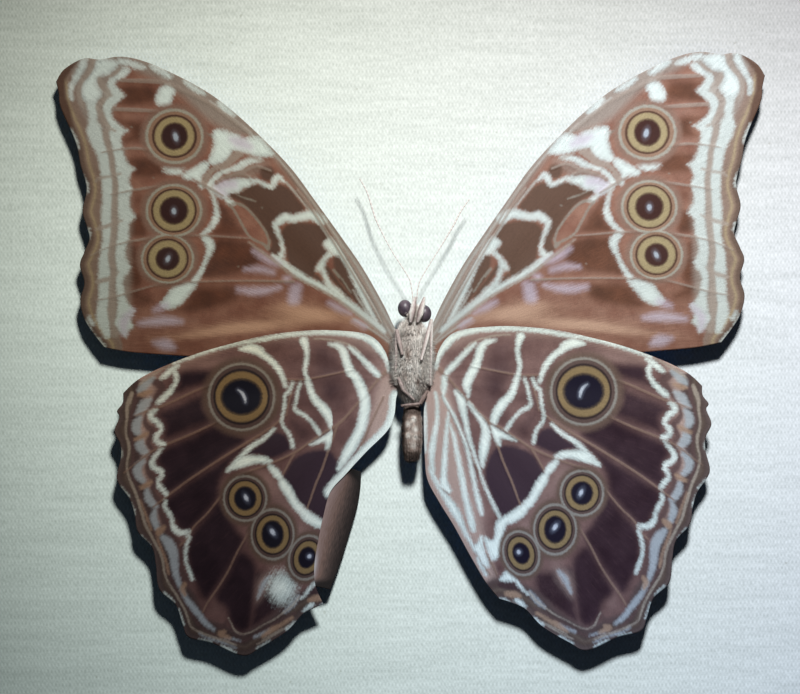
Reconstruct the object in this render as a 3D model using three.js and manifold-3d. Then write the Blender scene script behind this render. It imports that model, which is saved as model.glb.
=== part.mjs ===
// A mounted butterfly, underside up, on a linen-covered board.
// Millimetres, +Z up. +X is the right of the specimen as it is looked at, +Y points to the head.
// The origin is under the middle of the board, on the surface that it lies on.
import * as THREE from "three";
import { mergeVertices } from "three/addons/utils/BufferGeometryUtils.js";
import Module from "manifold-3d";

const wasm = await Module();
wasm.setup();

// Board and linen
const BOARD_WIDTH = 160;
const BOARD_DEPTH = 140;
const COVERED_HEIGHT = 6;
const LINEN_THICKNESS = 0.5;
const HEM_WIDTH = 14;
const GAP = 0.3;

// Heights of the specimen over the linen
const FOREWING_HEIGHT = 4.2;
const HINDWING_HEIGHT = 4.8;
const BODY_AXIS_HEIGHT = 4.5;
const WING_THICKNESS = 0.3;
// How far a wing's edge hangs below its root at DROOP_REACH from the root
const TIP_DROOP = 0.9;
const DROOP_REACH = 70;

// The left wings sit a degree lower than a mirror image of the right ones.
const LEFT_TURN = THREE.MathUtils.degToRad(-1);
const LEFT_FOREWING_SHIFT = [-0.3, 0.05];
const LEFT_HINDWING_SHIFT = [-0.1, -0.4];

// Body
const THORAX_FLATNESS = 0.95;
const BODY_GAP = 0.2;
const EYE_HALF_SIZE = [1.2, 1.45, 1.2];
const LEFT_EYE_PLACE = [-1.2, 8, 4.7];
const RIGHT_EYE_PLACE = [2.05, 7.1, 4.7];
const HEAD_PLACE = [0.5, 6.75, 4.5];
const HEAD_HALF_SIZE = [1.75, 1.75, 1.8];
const THIGH_RADII = [0.32, 0.36, 0.29];
const SHIN_RADII = [0.29, 0.25, 0.18];
const ANTENNA_RADII = [0.12, 0.12, 0.12, 0.2, 0.12];
const PIN_RADIUS = 0.25;
const PIN_BOTTOM = -4;
const PIN_TOP = 3.6;

// Facets: along and across each plate, round a body and round a limb
const FOREWING_GRID = [11, 23];
const HINDWING_GRID = [8, 34];
const STRIP_GRID = [16, 3];
const BODY_SIDES = 18;
const LIMB_SIDES = 6;
const PALP_STEPS = 10;
const ANTENNA_STEPS = 20;
const THIGH_STEPS = 6;
const SHIN_STEPS = 8;

// Right forewing outline: costa from root to apex, outer margin from there to the tornus, and inner margin
const FOREWING = {
  costa: [
    [1.6, 2.6], [3.2, 4.9], [5, 8.8], [8.4, 15], [11.8, 20.1], [15.9, 26], [20.2, 32], [25.8, 38],
    [31.3, 43], [36, 46.2], [42, 49.3], [46, 50.8], [49, 51.2], [52, 50.8], [54.8, 51], [58, 49.3],
    [59.45, 47.2],
  ],
  outer: [
    [59.45, 47.2], [59, 45.2], [58.9, 43.5], [58.2, 41.5], [56.9, 38.6], [56, 36], [55.5, 33],
    [54.7, 30.2], [54.6, 28.4], [55.3, 25.3], [54.6, 22.6], [54.2, 20.6], [55.2, 18.2], [55.9, 16.2],
    [55.2, 13.2], [55.95, 10.2], [55.3, 7.2], [53.9, 4.8], [52, 2.3],
  ],
  inner: [
    [1.6, -1.2], [8, -0.6], [20, 0], [36, 0.5], [43, 1], [48, 1.5], [52, 2.3],
  ],
  root: [3, 1.5],
};

// Right hindwing outline, in the same order
const HINDWING = {
  costa: [
    [1.8, -2.4], [3.6, -1.7], [4.4, 0.8], [5.8, 3], [8, 4.3], [12, 4.85], [17, 5], [24, 4.4],
    [30, 3.1], [36, 1.5], [42, -0.7], [46.2, -2.8], [48.7, -5],
  ],
  outer: [
    [48.7, -5], [48.8, -6.6], [49.8, -8], [49.4, -9], [50.25, -11.4], [49.3, -13.6], [49.25, -15.8],
    [50, -18.8], [49.6, -20.4], [47.9, -22.8], [47.1, -25.4], [46.6, -28.3], [44.3, -31],
    [43.7, -34], [43.2, -38], [40.5, -40.7], [39.4, -44], [38.4, -46.2], [34.6, -47.2],
    [29.4, -49.4], [26.4, -48.1], [22, -45.5], [19.2, -42.6], [17, -41.5], [14.6, -40.7],
  ],
  inner: [
    [1.6, -4.6], [2.3, -6.6], [1.95, -10], [2.15, -17], [2.6, -20.8], [4.6, -24.6], [7, -28.5],
    [9.9, -33.8], [12.4, -38], [14.6, -40.7],
  ],
  root: [3.5, -3.5],
};

// The left hindwing's inner margin ends at the line along which a strip of it is bent down.
const FOLDED_INNER = [
  [-1.6, -4.6], [-2.6, -6.8], [-3, -10], [-4.2, -12.6], [-7.7, -16.1], [-11.1, -19.8], [-13.7, -22.8],
  [-14.9, -26.9], [-15.8, -31.2], [-16.4, -35.3], [-16.2, -38.6], [-14.9, -41.6],
];
// The bent strip, from its fold just inside that line to its free edge; heights are over the wing's surface.
const STRIP_FOLD = [
  [-10.6, -18.6], [-13.9, -22.2], [-15.7, -27], [-16.7, -31.4], [-17.3, -35.4], [-17.1, -38.4],
];
const STRIP_FREE_EDGE = [
  [-7.4, -19.4], [-8.3, -22.2], [-9.2, -25.4], [-10.4, -29.6], [-12.1, -35], [-13.8, -39.4],
];
const STRIP_FOLD_LIFT = [-0.06, -0.06, -0.06, -0.06, -0.06, -0.06];
const STRIP_EDGE_LIFT = [-2.6, -3.2, -3.4, -3.3, -2.8, -1.6];
const STRIP_THICKNESS = 0.3;

// Body profiles: radius and place along the body, from tail end to head end
const THORAX_PROFILE = [
  [0, -7.6], [1.1, -7.3], [2, -6.2], [2.65, -4.4], [2.95, -2], [2.95, 0.4], [2.7, 2.4], [2.15, 4.1],
  [1.3, 5.1], [0, 5.4],
];
const ABDOMEN_FRONT = -6.9;
const ABDOMEN_TAIL = -17.4;
const ABDOMEN_RADIUS = 1.75;
const ABDOMEN_RINGS = 7;
const RING_DEPTH = 0.1;

const LEFT_ANTENNA_PATH = [
  [0.15, 9.3, 4.6], [-0.07, 11.2, 4.7], [-0.6, 13.2, 4.7], [-3.5, 17.8, 4.6], [-5.9, 22.5, 4.5],
  [-6.8, 25.2, 4.4], [-7.6, 27.6, 4.4], [-8.8, 29.8, 4.3],
];
const RIGHT_ANTENNA_PATH = [
  [0.8, 9.3, 4.6], [1, 11.4, 4.7], [1.75, 13.4, 4.7], [4.6, 18, 4.6], [6.9, 21.8, 4.5],
  [8.1, 24.1, 4.4], [9.6, 26.3, 4.3],
];
const PALP_RADII = [0.4, 0.5, 0.45, 0.14];
const LEFT_PALP_PATH = [[-0.25, 5.6, 6.85], [-0.05, 6.8, 6.95], [0.25, 8.3, 6.8], [0.55, 9.9, 6.3]];
const RIGHT_PALP_PATH = [[0.85, 5.6, 6.85], [1.25, 6.8, 6.95], [1.65, 8.3, 6.8], [2.05, 9.8, 6.3]];

// Folded legs: hip, knee and toe; the right hind one crosses the waist
const LEGS = {
  right_middle_leg: [[1.5, -0.7, 7.6], [3.25, 6.1, 6], [3.05, -5, 5.85]],
  right_hind_leg: [[2.5, -5.9, 5.9], [1.3, -8, 6.45], [-1.8, -8.3, 6.35]],
  left_middle_leg: [[-1.6, 0.2, 7.4], [-2.6, 4.4, 6.05], [-2.75, -2.8, 6]],
  left_hind_leg: [[-2.3, -3.6, 6.5], [-1.5, -5.6, 6.6], [0.3, -7.3, 6.3]],
};

const LOOKS = {
  board: { color: 0xc9b18c, roughness: 0.85, metalness: 0 },
  linen: { color: 0xe6e8e0, roughness: 0.95, metalness: 0 },
  pin: { color: 0x8e9196, roughness: 0.3, metalness: 1 },
  fur: { color: 0x8b7a6c, roughness: 0.9, metalness: 0 },
  eye: { color: 0x4a3f45, roughness: 0.35, metalness: 0 },
  leg: { color: 0xa08f86, roughness: 0.8, metalness: 0 },
  antenna: { color: 0xb59a92, roughness: 0.6, metalness: 0 },
  forewing: { color: 0x7a4a3c, roughness: 0.8, metalness: 0 },
  hindwing: { color: 0x4a332f, roughness: 0.8, metalness: 0 },
};

// A closed geometry as a solid that can be cut and joined
function solidOf(geometry) {
  const bare = geometry.clone();
  bare.deleteAttribute("normal");
  bare.deleteAttribute("uv");
  const merged = mergeVertices(bare, 1e-4);
  return new wasm.Manifold(
    new wasm.Mesh({
      numProp: 3,
      vertProperties: merged.attributes.position.array,
      triVerts: new Uint32Array(merged.index.array),
    }),
  );
}

function geometryOf(solid) {
  const mesh = solid.getMesh();
  const geometry = new THREE.BufferGeometry();
  geometry.setAttribute("position", new THREE.BufferAttribute(mesh.vertProperties, 3));
  geometry.setIndex(new THREE.BufferAttribute(mesh.triVerts, 1));
  geometry.computeVertexNormals();
  return geometry;
}

function piece(name, geometry, look) {
  const mesh = new THREE.Mesh(geometry, new THREE.MeshStandardMaterial(LOOKS[look]));
  mesh.name = name;
  return mesh;
}

function box(width, depth, bottom, top) {
  return new THREE.BoxGeometry(width, depth, top - bottom).translate(0, 0, (top + bottom) / 2);
}

function pinShape(radius, bottom, top) {
  return new THREE.CylinderGeometry(radius, radius, top - bottom, 10)
    .rotateX(Math.PI / 2)
    .translate(0, 0, (top + bottom) / 2);
}

// A body of revolution about the head-to-tail axis, flattened a little and lifted to the body's height
function bodyOfRevolution(profile, flatness, grow = 0) {
  const grown = profile.map(([radius, along], i) => {
    const end = i === 0 ? -grow : i === profile.length - 1 ? grow : 0;
    return new THREE.Vector2(radius === 0 ? 0 : radius + grow, along + end);
  });
  return new THREE.LatheGeometry(grown, BODY_SIDES).scale(1, 1, flatness).translate(0, 0, BODY_AXIS_HEIGHT);
}

function abdomenProfile() {
  const length = ABDOMEN_FRONT - ABDOMEN_TAIL;
  const inside = Array.from({ length: 2 * ABDOMEN_RINGS }, (_, i) => {
    const t = (i + 0.5) / (2 * ABDOMEN_RINGS);
    const waist = Math.pow(Math.sin(Math.PI * (0.12 + 0.8 * t)), 0.35);
    return [ABDOMEN_RADIUS * waist - (i % 2) * RING_DEPTH, ABDOMEN_TAIL + t * length];
  });
  return [[0, ABDOMEN_TAIL], ...inside, [0, ABDOMEN_FRONT]];
}

function ellipsoid(place, halfSize, grow = 0) {
  const [x, y, z] = halfSize.map((half) => half + grow);
  return new THREE.SphereGeometry(1, 14, 10).scale(x, y, z).translate(...place);
}

// A closed tube along a smooth path whose radius runs through the given values
function limb(points, radii, steps) {
  const sides = LIMB_SIDES;
  const path = new THREE.CatmullRomCurve3(points.map((p) => new THREE.Vector3(...p)));
  const frames = path.computeFrenetFrames(steps, false);
  const vertices = [path.getPointAt(0), path.getPointAt(1)];
  for (let i = 0; i <= steps; i++) {
    const along = (i / steps) * (radii.length - 1);
    const before = Math.min(Math.floor(along), radii.length - 2);
    const radius = THREE.MathUtils.lerp(radii[before], radii[before + 1], along - before);
    const centre = path.getPointAt(i / steps);
    for (let k = 0; k < sides; k++) {
      const turn = (2 * Math.PI * k) / sides;
      const point = centre.clone();
      point.addScaledVector(frames.normals[i], radius * Math.cos(turn));
      point.addScaledVector(frames.binormals[i], radius * Math.sin(turn));
      vertices.push(point);
    }
  }
  const at = (i, k) => 2 + i * sides + (k % sides);
  const triangles = [];
  for (let k = 0; k < sides; k++) {
    triangles.push([0, at(0, k + 1), at(0, k)]);
    triangles.push([1, at(steps, k), at(steps, k + 1)]);
    for (let i = 0; i < steps; i++) {
      triangles.push([at(i, k), at(i, k + 1), at(i + 1, k)]);
      triangles.push([at(i, k + 1), at(i + 1, k + 1), at(i + 1, k)]);
    }
  }
  return closedGeometry(vertices, triangles);
}

function closedGeometry(vertices, triangles) {
  const geometry = new THREE.BufferGeometry();
  geometry.setFromPoints(vertices);
  geometry.setIndex(triangles.flat());
  geometry.computeVertexNormals();
  return geometry;
}

// A plate between an upper and a lower grid of points; surface(u, v) gives the middle of the plate
function plate(surface, [uSteps, vSteps], thickness, mirrored) {
  const vertices = [];
  for (const side of [0.5, -0.5]) {
    for (let i = 0; i <= uSteps; i++) {
      for (let j = 0; j <= vSteps; j++) {
        const point = surface(i / uSteps, j / vSteps);
        vertices.push(point.setZ(point.z + side * thickness));
      }
    }
  }
  const row = vSteps + 1;
  const below = (uSteps + 1) * row;
  const triangles = [];
  const quad = (a, b, c, d) => triangles.push([a, b, c], [a, c, d]);
  for (let i = 0; i < uSteps; i++) {
    for (let j = 0; j < vSteps; j++) {
      const a = i * row + j;
      quad(a, a + 1, a + row + 1, a + row);
      quad(below + a, below + a + row, below + a + row + 1, below + a + 1);
    }
    const first = i * row;
    const last = first + vSteps;
    quad(first, first + row, below + first + row, below + first);
    quad(last + row, last, below + last, below + last + row);
  }
  for (let j = 0; j < vSteps; j++) {
    const end = uSteps * row + j;
    quad(j + 1, j, below + j, below + j + 1);
    quad(end, end + 1, below + end + 1, below + end);
  }
  const outward = mirrored ? triangles.map(([a, b, c]) => [a, c, b]) : triangles;
  return closedGeometry(vertices, outward);
}

const flatCurve = (points) => new THREE.SplineCurve(points.map((p) => new THREE.Vector2(...p)));

// A wing as a patch: straight lines run from costa to inner margin, and the outer margin's bulge fades
// out towards the root; the wing hangs a little lower the further it is from its root
function wingSurface(outline, height) {
  const costa = flatCurve(outline.costa);
  const inner = flatCurve(outline.inner);
  const outer = flatCurve(outline.outer);
  const root = new THREE.Vector2(...outline.root);
  return (u, v) => {
    const chord = costa.getPointAt(u).lerp(inner.getPointAt(u), v);
    const lastChord = costa.getPointAt(1).lerp(inner.getPointAt(1), v);
    const bulge = outer.getPointAt(v).sub(lastChord);
    const flat = chord.addScaledVector(bulge, u);
    const droop = TIP_DROOP * Math.pow(flat.distanceTo(root) / DROOP_REACH, 2);
    return new THREE.Vector3(flat.x, flat.y, height - droop);
  };
}

// The same outline on the left: turned and moved a little, then mirrored
function leftOf(outline, shift) {
  const move = ([x, y]) => [
    -(x * Math.cos(LEFT_TURN) - y * Math.sin(LEFT_TURN) + shift[0]),
    x * Math.sin(LEFT_TURN) + y * Math.cos(LEFT_TURN) + shift[1],
  ];
  return {
    costa: outline.costa.map(move),
    outer: outline.outer.map(move),
    inner: outline.inner.map(move),
    root: move(outline.root),
  };
}

// The strip that is bent down along the left hindwing's inner margin
function foldedStrip(root) {
  const lifted = ([x, y], lift) => {
    const droop = TIP_DROOP * Math.pow(Math.hypot(x - root[0], y - root[1]) / DROOP_REACH, 2);
    return new THREE.Vector3(x, y, HINDWING_HEIGHT - droop + lift);
  };
  const fold = new THREE.CatmullRomCurve3(STRIP_FOLD.map((p, i) => lifted(p, STRIP_FOLD_LIFT[i])));
  const edge = new THREE.CatmullRomCurve3(STRIP_FREE_EDGE.map((p, i) => lifted(p, STRIP_EDGE_LIFT[i])));
  return (u, v) => fold.getPoint(u).lerp(edge.getPoint(u), v);
}

// Board and linen: the linen is a shallow tray turned over the board, with its hem under the edges
const boardBottom = LINEN_THICKNESS + GAP;
const boardTop = COVERED_HEIGHT - LINEN_THICKNESS - GAP;
const inLinen = 2 * (LINEN_THICKNESS + GAP);
const inHem = 2 * HEM_WIDTH;
const pinHole = solidOf(pinShape(PIN_RADIUS + BODY_GAP, PIN_BOTTOM - BODY_GAP, PIN_TOP + BODY_GAP));
const pinHoleInBoard = pinHole.translate([0, 0, COVERED_HEIGHT]);
const board = solidOf(box(BOARD_WIDTH - inLinen, BOARD_DEPTH - inLinen, boardBottom, boardTop))
  .subtract(pinHoleInBoard);
const underLinen = 2 * LINEN_THICKNESS;
const innerTop = COVERED_HEIGHT - LINEN_THICKNESS;
const linen = solidOf(box(BOARD_WIDTH, BOARD_DEPTH, 0, COVERED_HEIGHT))
  .subtract(solidOf(box(BOARD_WIDTH - underLinen, BOARD_DEPTH - underLinen, LINEN_THICKNESS, innerTop)))
  .subtract(solidOf(box(BOARD_WIDTH - inHem, BOARD_DEPTH - inHem, -1, 1)))
  .subtract(pinHoleInBoard);

// Body: each piece is cut back by its neighbour, a little enlarged, so that the two meet with a fine gap
const thoraxRoom = solidOf(bodyOfRevolution(THORAX_PROFILE, THORAX_FLATNESS, BODY_GAP));
const abdomenRoom = solidOf(bodyOfRevolution(abdomenProfile(), 1, BODY_GAP));
const thorax = solidOf(bodyOfRevolution(THORAX_PROFILE, THORAX_FLATNESS)).subtract(pinHole);
const abdomen = solidOf(bodyOfRevolution(abdomenProfile(), 1)).subtract(thoraxRoom);
const head = solidOf(ellipsoid(HEAD_PLACE, HEAD_HALF_SIZE))
  .subtract(thoraxRoom)
  .subtract(solidOf(ellipsoid(LEFT_EYE_PLACE, EYE_HALF_SIZE, BODY_GAP)))
  .subtract(solidOf(ellipsoid(RIGHT_EYE_PLACE, EYE_HALF_SIZE, BODY_GAP)));

// A folded leg: thigh from hip to knee, shin from knee to toe
function foldedLeg([hip, knee, toe]) {
  const thigh = limb([hip, knee], THIGH_RADII, THIGH_STEPS);
  const shin = limb([knee, toe], SHIN_RADII, SHIN_STEPS);
  return solidOf(thigh).add(solidOf(shin)).subtract(thoraxRoom);
}

// Wings: plates that are cut back where they meet the body
function wing(outline, height, grid, mirrored) {
  const whole = solidOf(plate(wingSurface(outline, height), grid, WING_THICKNESS, mirrored));
  return whole.subtract(thoraxRoom).subtract(abdomenRoom);
}

const leftForewing = leftOf(FOREWING, LEFT_FOREWING_SHIFT);
const leftHindwing = leftOf(HINDWING, LEFT_HINDWING_SHIFT);
leftHindwing.inner = FOLDED_INNER;
leftHindwing.outer[leftHindwing.outer.length - 1] = FOLDED_INNER.at(-1);
const strip = solidOf(plate(foldedStrip(leftHindwing.root), STRIP_GRID, STRIP_THICKNESS, true));
const wings = {
  right_forewing: wing(FOREWING, FOREWING_HEIGHT, FOREWING_GRID, false),
  left_forewing: wing(leftForewing, FOREWING_HEIGHT, FOREWING_GRID, true),
  right_hindwing: wing(HINDWING, HINDWING_HEIGHT, HINDWING_GRID, false),
  left_hindwing: wing(leftHindwing, HINDWING_HEIGHT, HINDWING_GRID, true).add(strip),
};

// The butterfly stands over the linen.
const butterfly = new THREE.Group();
butterfly.position.z = COVERED_HEIGHT;
butterfly.add(
  piece("mounting_pin", pinShape(PIN_RADIUS, PIN_BOTTOM, PIN_TOP), "pin"),
  piece("thorax", geometryOf(thorax), "fur"),
  piece("abdomen", geometryOf(abdomen), "fur"),
  piece("head", geometryOf(head), "fur"),
  piece("left_eye", ellipsoid(LEFT_EYE_PLACE, EYE_HALF_SIZE), "eye"),
  piece("right_eye", ellipsoid(RIGHT_EYE_PLACE, EYE_HALF_SIZE), "eye"),
  piece("left_palp", limb(LEFT_PALP_PATH, PALP_RADII, PALP_STEPS), "leg"),
  piece("right_palp", limb(RIGHT_PALP_PATH, PALP_RADII, PALP_STEPS), "leg"),
  piece("left_antenna", limb(LEFT_ANTENNA_PATH, ANTENNA_RADII, ANTENNA_STEPS), "antenna"),
  piece("right_antenna", limb(RIGHT_ANTENNA_PATH, ANTENNA_RADII, ANTENNA_STEPS), "antenna"),
);
for (const [name, joints] of Object.entries(LEGS)) {
  butterfly.add(piece(name, geometryOf(foldedLeg(joints)), "leg"));
}
for (const [name, solid] of Object.entries(wings)) {
  butterfly.add(piece(name, geometryOf(solid), name.split("_")[1]));
}

const specimen = new THREE.Group();
specimen.add(
  piece("backing_board", geometryOf(board), "board"),
  piece("linen_cover", geometryOf(linen), "linen"),
  butterfly,
);

export default specimen;
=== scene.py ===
# %% [markdown]
# A large butterfly lies underside up, wings spread, on a short pin over a board covered in linen.
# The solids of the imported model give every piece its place; here each one that is wing, fur, scale or
# cloth is made again as a fine surface and takes that solid's place.

import bpy
import numpy as np
from mathutils import Matrix


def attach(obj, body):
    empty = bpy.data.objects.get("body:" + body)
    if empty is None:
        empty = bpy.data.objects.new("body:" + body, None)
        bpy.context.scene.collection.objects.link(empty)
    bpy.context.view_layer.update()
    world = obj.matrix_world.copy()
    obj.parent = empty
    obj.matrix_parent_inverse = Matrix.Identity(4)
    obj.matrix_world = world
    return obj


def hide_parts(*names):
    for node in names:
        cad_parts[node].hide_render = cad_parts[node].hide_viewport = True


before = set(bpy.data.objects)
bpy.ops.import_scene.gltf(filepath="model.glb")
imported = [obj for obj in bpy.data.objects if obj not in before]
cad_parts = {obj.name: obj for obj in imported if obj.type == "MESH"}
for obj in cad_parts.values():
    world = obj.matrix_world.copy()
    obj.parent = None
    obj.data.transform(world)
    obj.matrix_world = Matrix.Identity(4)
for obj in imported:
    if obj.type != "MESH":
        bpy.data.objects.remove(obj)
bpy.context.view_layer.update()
MM = 0.001
rng = np.random.default_rng(11)
print(len(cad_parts), "nodes")

# %% [markdown]
# A few helpers serve every piece. One turns a hex colour into the linear values that a shader takes, one
# adds a node with its settings and links, and one starts a material. Two more put an object into the
# scene and turn arrays of points and faces, in millimetres, into a piece that stands for a solid.

# %% Helpers


def colour(code):
    """A hex sRGB colour as linear RGBA."""
    srgb = np.array([int(code[i : i + 2], 16) for i in (1, 3, 5)]) / 255
    linear = np.where(srgb <= 0.04045, srgb / 12.92, ((srgb + 0.055) / 1.055) ** 2.4)
    return (*linear.tolist(), 1.0)


def add(tree, kind, inputs=None, stops=(), **settings):
    """A node with its settings. inputs maps a socket to a value or to another node's output, and stops
    gives a colour ramp's places and hex colours in order."""
    node = tree.nodes.new("ShaderNode" + kind)
    for name, value in settings.items():
        setattr(node, name, value)
    for name, value in (inputs or {}).items():
        if isinstance(value, bpy.types.NodeSocket):
            tree.links.new(value, node.inputs[name])
        else:
            node.inputs[name].default_value = value
    if stops:
        ramp = node.color_ramp.elements
        for end in (0, -1):
            ramp[end].position = stops[end][0]
            ramp[end].color = colour(stops[end][1])
        for where, code in stops[1:-1]:
            ramp.new(where).color = colour(code)
    return node


def new_material(name, **surface):
    """A material with one shader, whose sockets are set from surface; returns it, its tree and the shader."""
    material = bpy.data.materials.new(name)
    material.use_nodes = True
    tree = material.node_tree
    tree.nodes.clear()
    shader = add(tree, "BsdfPrincipled", {key.replace("_", " "): value for key, value in surface.items()})
    add(tree, "OutputMaterial", {"Surface": shader.outputs["BSDF"]})
    return material, tree, shader


def put(name, data, place=(0, 0, 0)):
    """A new object for some data, put into the scene at a place in metres."""
    thing = bpy.data.objects.new(name, data)
    thing.location = place
    bpy.context.collection.objects.link(thing)
    return thing


def make_piece(name, points, faces, materials, node, slot, attributes=None, second=None):
    """A piece from points (n, 3) in mm and arrays of faces, in place of the solid called node, if any.

    attributes gives each point's values by name; second marks the faces of the second material."""
    sizes = np.concatenate([np.full(len(f), f.shape[1]) for f in faces])
    corners = np.concatenate([f.ravel() for f in faces])
    mesh = bpy.data.meshes.new(name)
    mesh.vertices.add(len(points))
    mesh.vertices.foreach_set("co", (points * MM).ravel())
    mesh.loops.add(len(corners))
    mesh.loops.foreach_set("vertex_index", corners)
    mesh.polygons.add(len(sizes))
    mesh.polygons.foreach_set("loop_start", np.concatenate([[0], np.cumsum(sizes)[:-1]]))
    mesh.polygons.foreach_set("use_smooth", np.ones(len(sizes), bool))
    for material in materials:
        mesh.materials.append(material)
    if second is not None:
        mesh.polygons.foreach_set("material_index", second.astype(np.int32))
    for key, values in (attributes or {}).items():
        kind, field = ("FLOAT", "value") if values.ndim == 1 else ("FLOAT_VECTOR", "vector")
        layer = mesh.attributes.new(key, kind, "POINT")
        layer.data.foreach_set(field, values.astype(np.float32).ravel())
    mesh.update(calc_edges=True)
    piece = put(name, mesh)
    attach(piece, "root")
    if node:
        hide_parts(node)
    print(f"{name}: {int((sizes - 2).sum())} triangles")
    return piece


# %% [markdown]
# Outlines, veins, limbs and folds are all smooth curves through a few measured points. The same curve as
# in the solids is used: a Catmull-Rom spline whose ends repeat, read at even shares of its length.

# %% Curves and grids
CURVE_STEPS = 24


def spans(points, steps):
    """Catmull-Rom: from b to c, with neighbours a and d, half of 2b + (c - a)t + (2a - 5b + 4c - d)tt
    + (3b - a - 3c + d)ttt, at the given number of steps of t from 0 to 1."""
    t = np.linspace(0, 1, steps, endpoint=False)[None, :, None]
    a, b, c, d = points[:-3, None], points[1:-2, None], points[2:-1, None], points[3:, None]
    s = 0.5 * (2 * b + (c - a) * t + (2 * a - 5 * b + 4 * c - d) * t**2 + (3 * b - a - 3 * c + d) * t**3)
    return s.reshape(-1, points.shape[1])


def curve(points, shares):
    """Points at shares (0 to 1) of the length of the spline through the given points."""
    p = np.asarray(points, float)
    dense = np.vstack([spans(np.vstack([p[:1], p, p[-1:]]), CURVE_STEPS), p[-1:]])
    length = np.concatenate([[0], np.cumsum(np.linalg.norm(np.diff(dense, axis=0), axis=1))])
    return np.column_stack([np.interp(shares * length[-1], length, axis) for axis in dense.T])


def grid_faces(rows, columns, wrap=False):
    """Quads of a grid of rows x columns points; with wrap the last column joins the first."""
    i, j = np.meshgrid(np.arange(rows - 1), np.arange(columns if wrap else columns - 1), indexing="ij")
    k = (j + 1) % columns
    quads = np.stack([i * columns + j, i * columns + k, (i + 1) * columns + k, (i + 1) * columns + j], -1)
    return quads.reshape(-1, 4)


def rings_body(rings):
    """A closed body from rings (n, m, 3) and the middles of its ends: points, quads and end triangles."""
    n, m = rings.shape[:2]
    points = np.vstack([rings.reshape(-1, 3), rings[0].mean(0), rings[-1].mean(0)])
    k = np.arange(m)
    first = np.stack([np.full(m, n * m), (k + 1) % m, k], -1)
    last = np.stack([np.full(m, n * m + 1), (n - 1) * m + k, (n - 1) * m + (k + 1) % m], -1)
    return points, [grid_faces(n, m, wrap=True), first, last]




# %% [markdown]
# The linen is stretched over the board and turned under its edges. Its section runs from the middle of
# the top out to the edge, down the side and under to the end of the hem, then back on the inside of the
# cloth; every point of that section becomes one rectangle with a little corner rounding. The corners are
# cut to meet in a mitre. Flat it measures 200 by 180 mm.

# %% Linen
BOARD = (160.0, 140.0)
LINEN_TOP = 6.0
LINEN_THICK = 0.5
HEM = 14.0
BEND = 0.9
CORNER = 1.0
CENTRE_INSET, EDGE_INSET = 69.9, 1.2
SIDE_POINTS, TOP_POINTS, HEM_POINTS = 81, 44, 8
SLACK, RIPPLE = 0.1, 0.05


def linen_rings(inset, height):
    """Rectangles inset from the board's outline at a height, with corners rounded by CORNER."""
    half = np.array(BOARD) / 2 - inset[:, None]
    steps = np.linspace(-1, 1, SIDE_POINTS)
    side = np.stack(np.broadcast_arrays(np.ones(SIDE_POINTS), steps), -1)[:-1]
    square = np.concatenate([side, side[:, ::-1] * [-1, 1], -side, side[:, ::-1] * [1, -1]])
    ring = square[None] * half[:, None]
    core = np.maximum(half - CORNER, 0)[:, None]
    out = ring - np.clip(ring, -core, core)
    far = np.linalg.norm(out, axis=-1, keepdims=True)
    reach = np.minimum(far, np.minimum(CORNER, half[:, None].min(-1, keepdims=True)))
    ring = np.clip(ring, -core, core) + out / np.maximum(far, 1e-9) * reach
    z = np.broadcast_to(height[:, None, None], ring.shape[:2] + (1,))
    return np.concatenate([ring, z], -1)


bend = np.linspace(0, np.pi / 2, 5)[1:-1]
outside = [
    (np.linspace(CENTRE_INSET, EDGE_INSET, TOP_POINTS), np.full(TOP_POINTS, LINEN_TOP)),
    (BEND - BEND * np.sin(bend), LINEN_TOP - BEND + BEND * np.cos(bend)),
    (np.zeros(5), np.linspace(LINEN_TOP - 1, BEND, 5)),
    (BEND - BEND * np.cos(bend), BEND - BEND * np.sin(bend)),
    (np.linspace(1, HEM, HEM_POINTS), np.zeros(HEM_POINTS)),
]
inside = [
    (np.linspace(HEM, 1, HEM_POINTS), np.full(HEM_POINTS, LINEN_THICK)),
    (np.full(4, LINEN_THICK), np.linspace(1, LINEN_TOP - 1, 4)),
    (np.linspace(EDGE_INSET, CENTRE_INSET, TOP_POINTS), np.full(TOP_POINTS, LINEN_TOP - LINEN_THICK)),
]
rings = linen_rings(*np.hstack(outside + inside))
x, y = rings[..., 0], rings[..., 1]
wave = RIPPLE * (np.sin(x / 9.1 + 1.3 * np.sin(y / 17)) + np.sin(y / 7.3 + x / 31))
rings[..., 2] -= np.where(rings[..., 2] > LINEN_TOP / 2, SLACK + wave, 0)
linen_points, linen_faces = rings_body(rings)
print(len(linen_points), "points of linen")

# %% [markdown]
# Plain linen: round threads, 0.32 mm apart one way and 0.58 mm the other, over and under one another.
# Some are thicker than their neighbours for part of their run, so the eye reads a fine grid with flecks
# and short bars. The cloth's colour carries painted light and shade: lighter and yellower to the left,
# darker and greyer to the right, warmer at the top and bluer at the bottom.

# %% Linen material
TWO_THREADS = (0.63, 1.16)
THREAD_DRIFT = 0.0012
CLOTH_AND_LIGHT_TINT = (0.879, 0.92, 0.927)
PAINTED_LIGHT_PER_METRE = ((-1.97, -2.39, -1.12), (0.90, 0, -0.70))
linen, tree, shader = new_material("bleached_linen", Roughness=0.92, Specular_IOR_Level=0.25)
place = add(tree, "TexCoord").outputs["Object"]
split = add(tree, "SeparateXYZ", {0: place}).outputs
drift = add(tree, "TexNoise", {"Vector": place, "Scale": 140.0, "Detail": 2.0}).outputs["Fac"]
threads = []
for axis, pitch in enumerate(TWO_THREADS):
    inputs = {0: drift, 1: THREAD_DRIFT, 2: split[axis]}
    bent = add(tree, "Math", inputs, operation="MULTIPLY_ADD").outputs[0]
    turn = add(tree, "Math", {0: bent, 1: 2 * np.pi / (pitch * MM)}, operation="MULTIPLY").outputs[0]
    threads.append(add(tree, "Math", {0: turn}, operation="SINE").outputs[0])
over = add(tree, "Math", {0: threads[0], 1: threads[1]}, operation="MULTIPLY").outputs[0]
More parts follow.
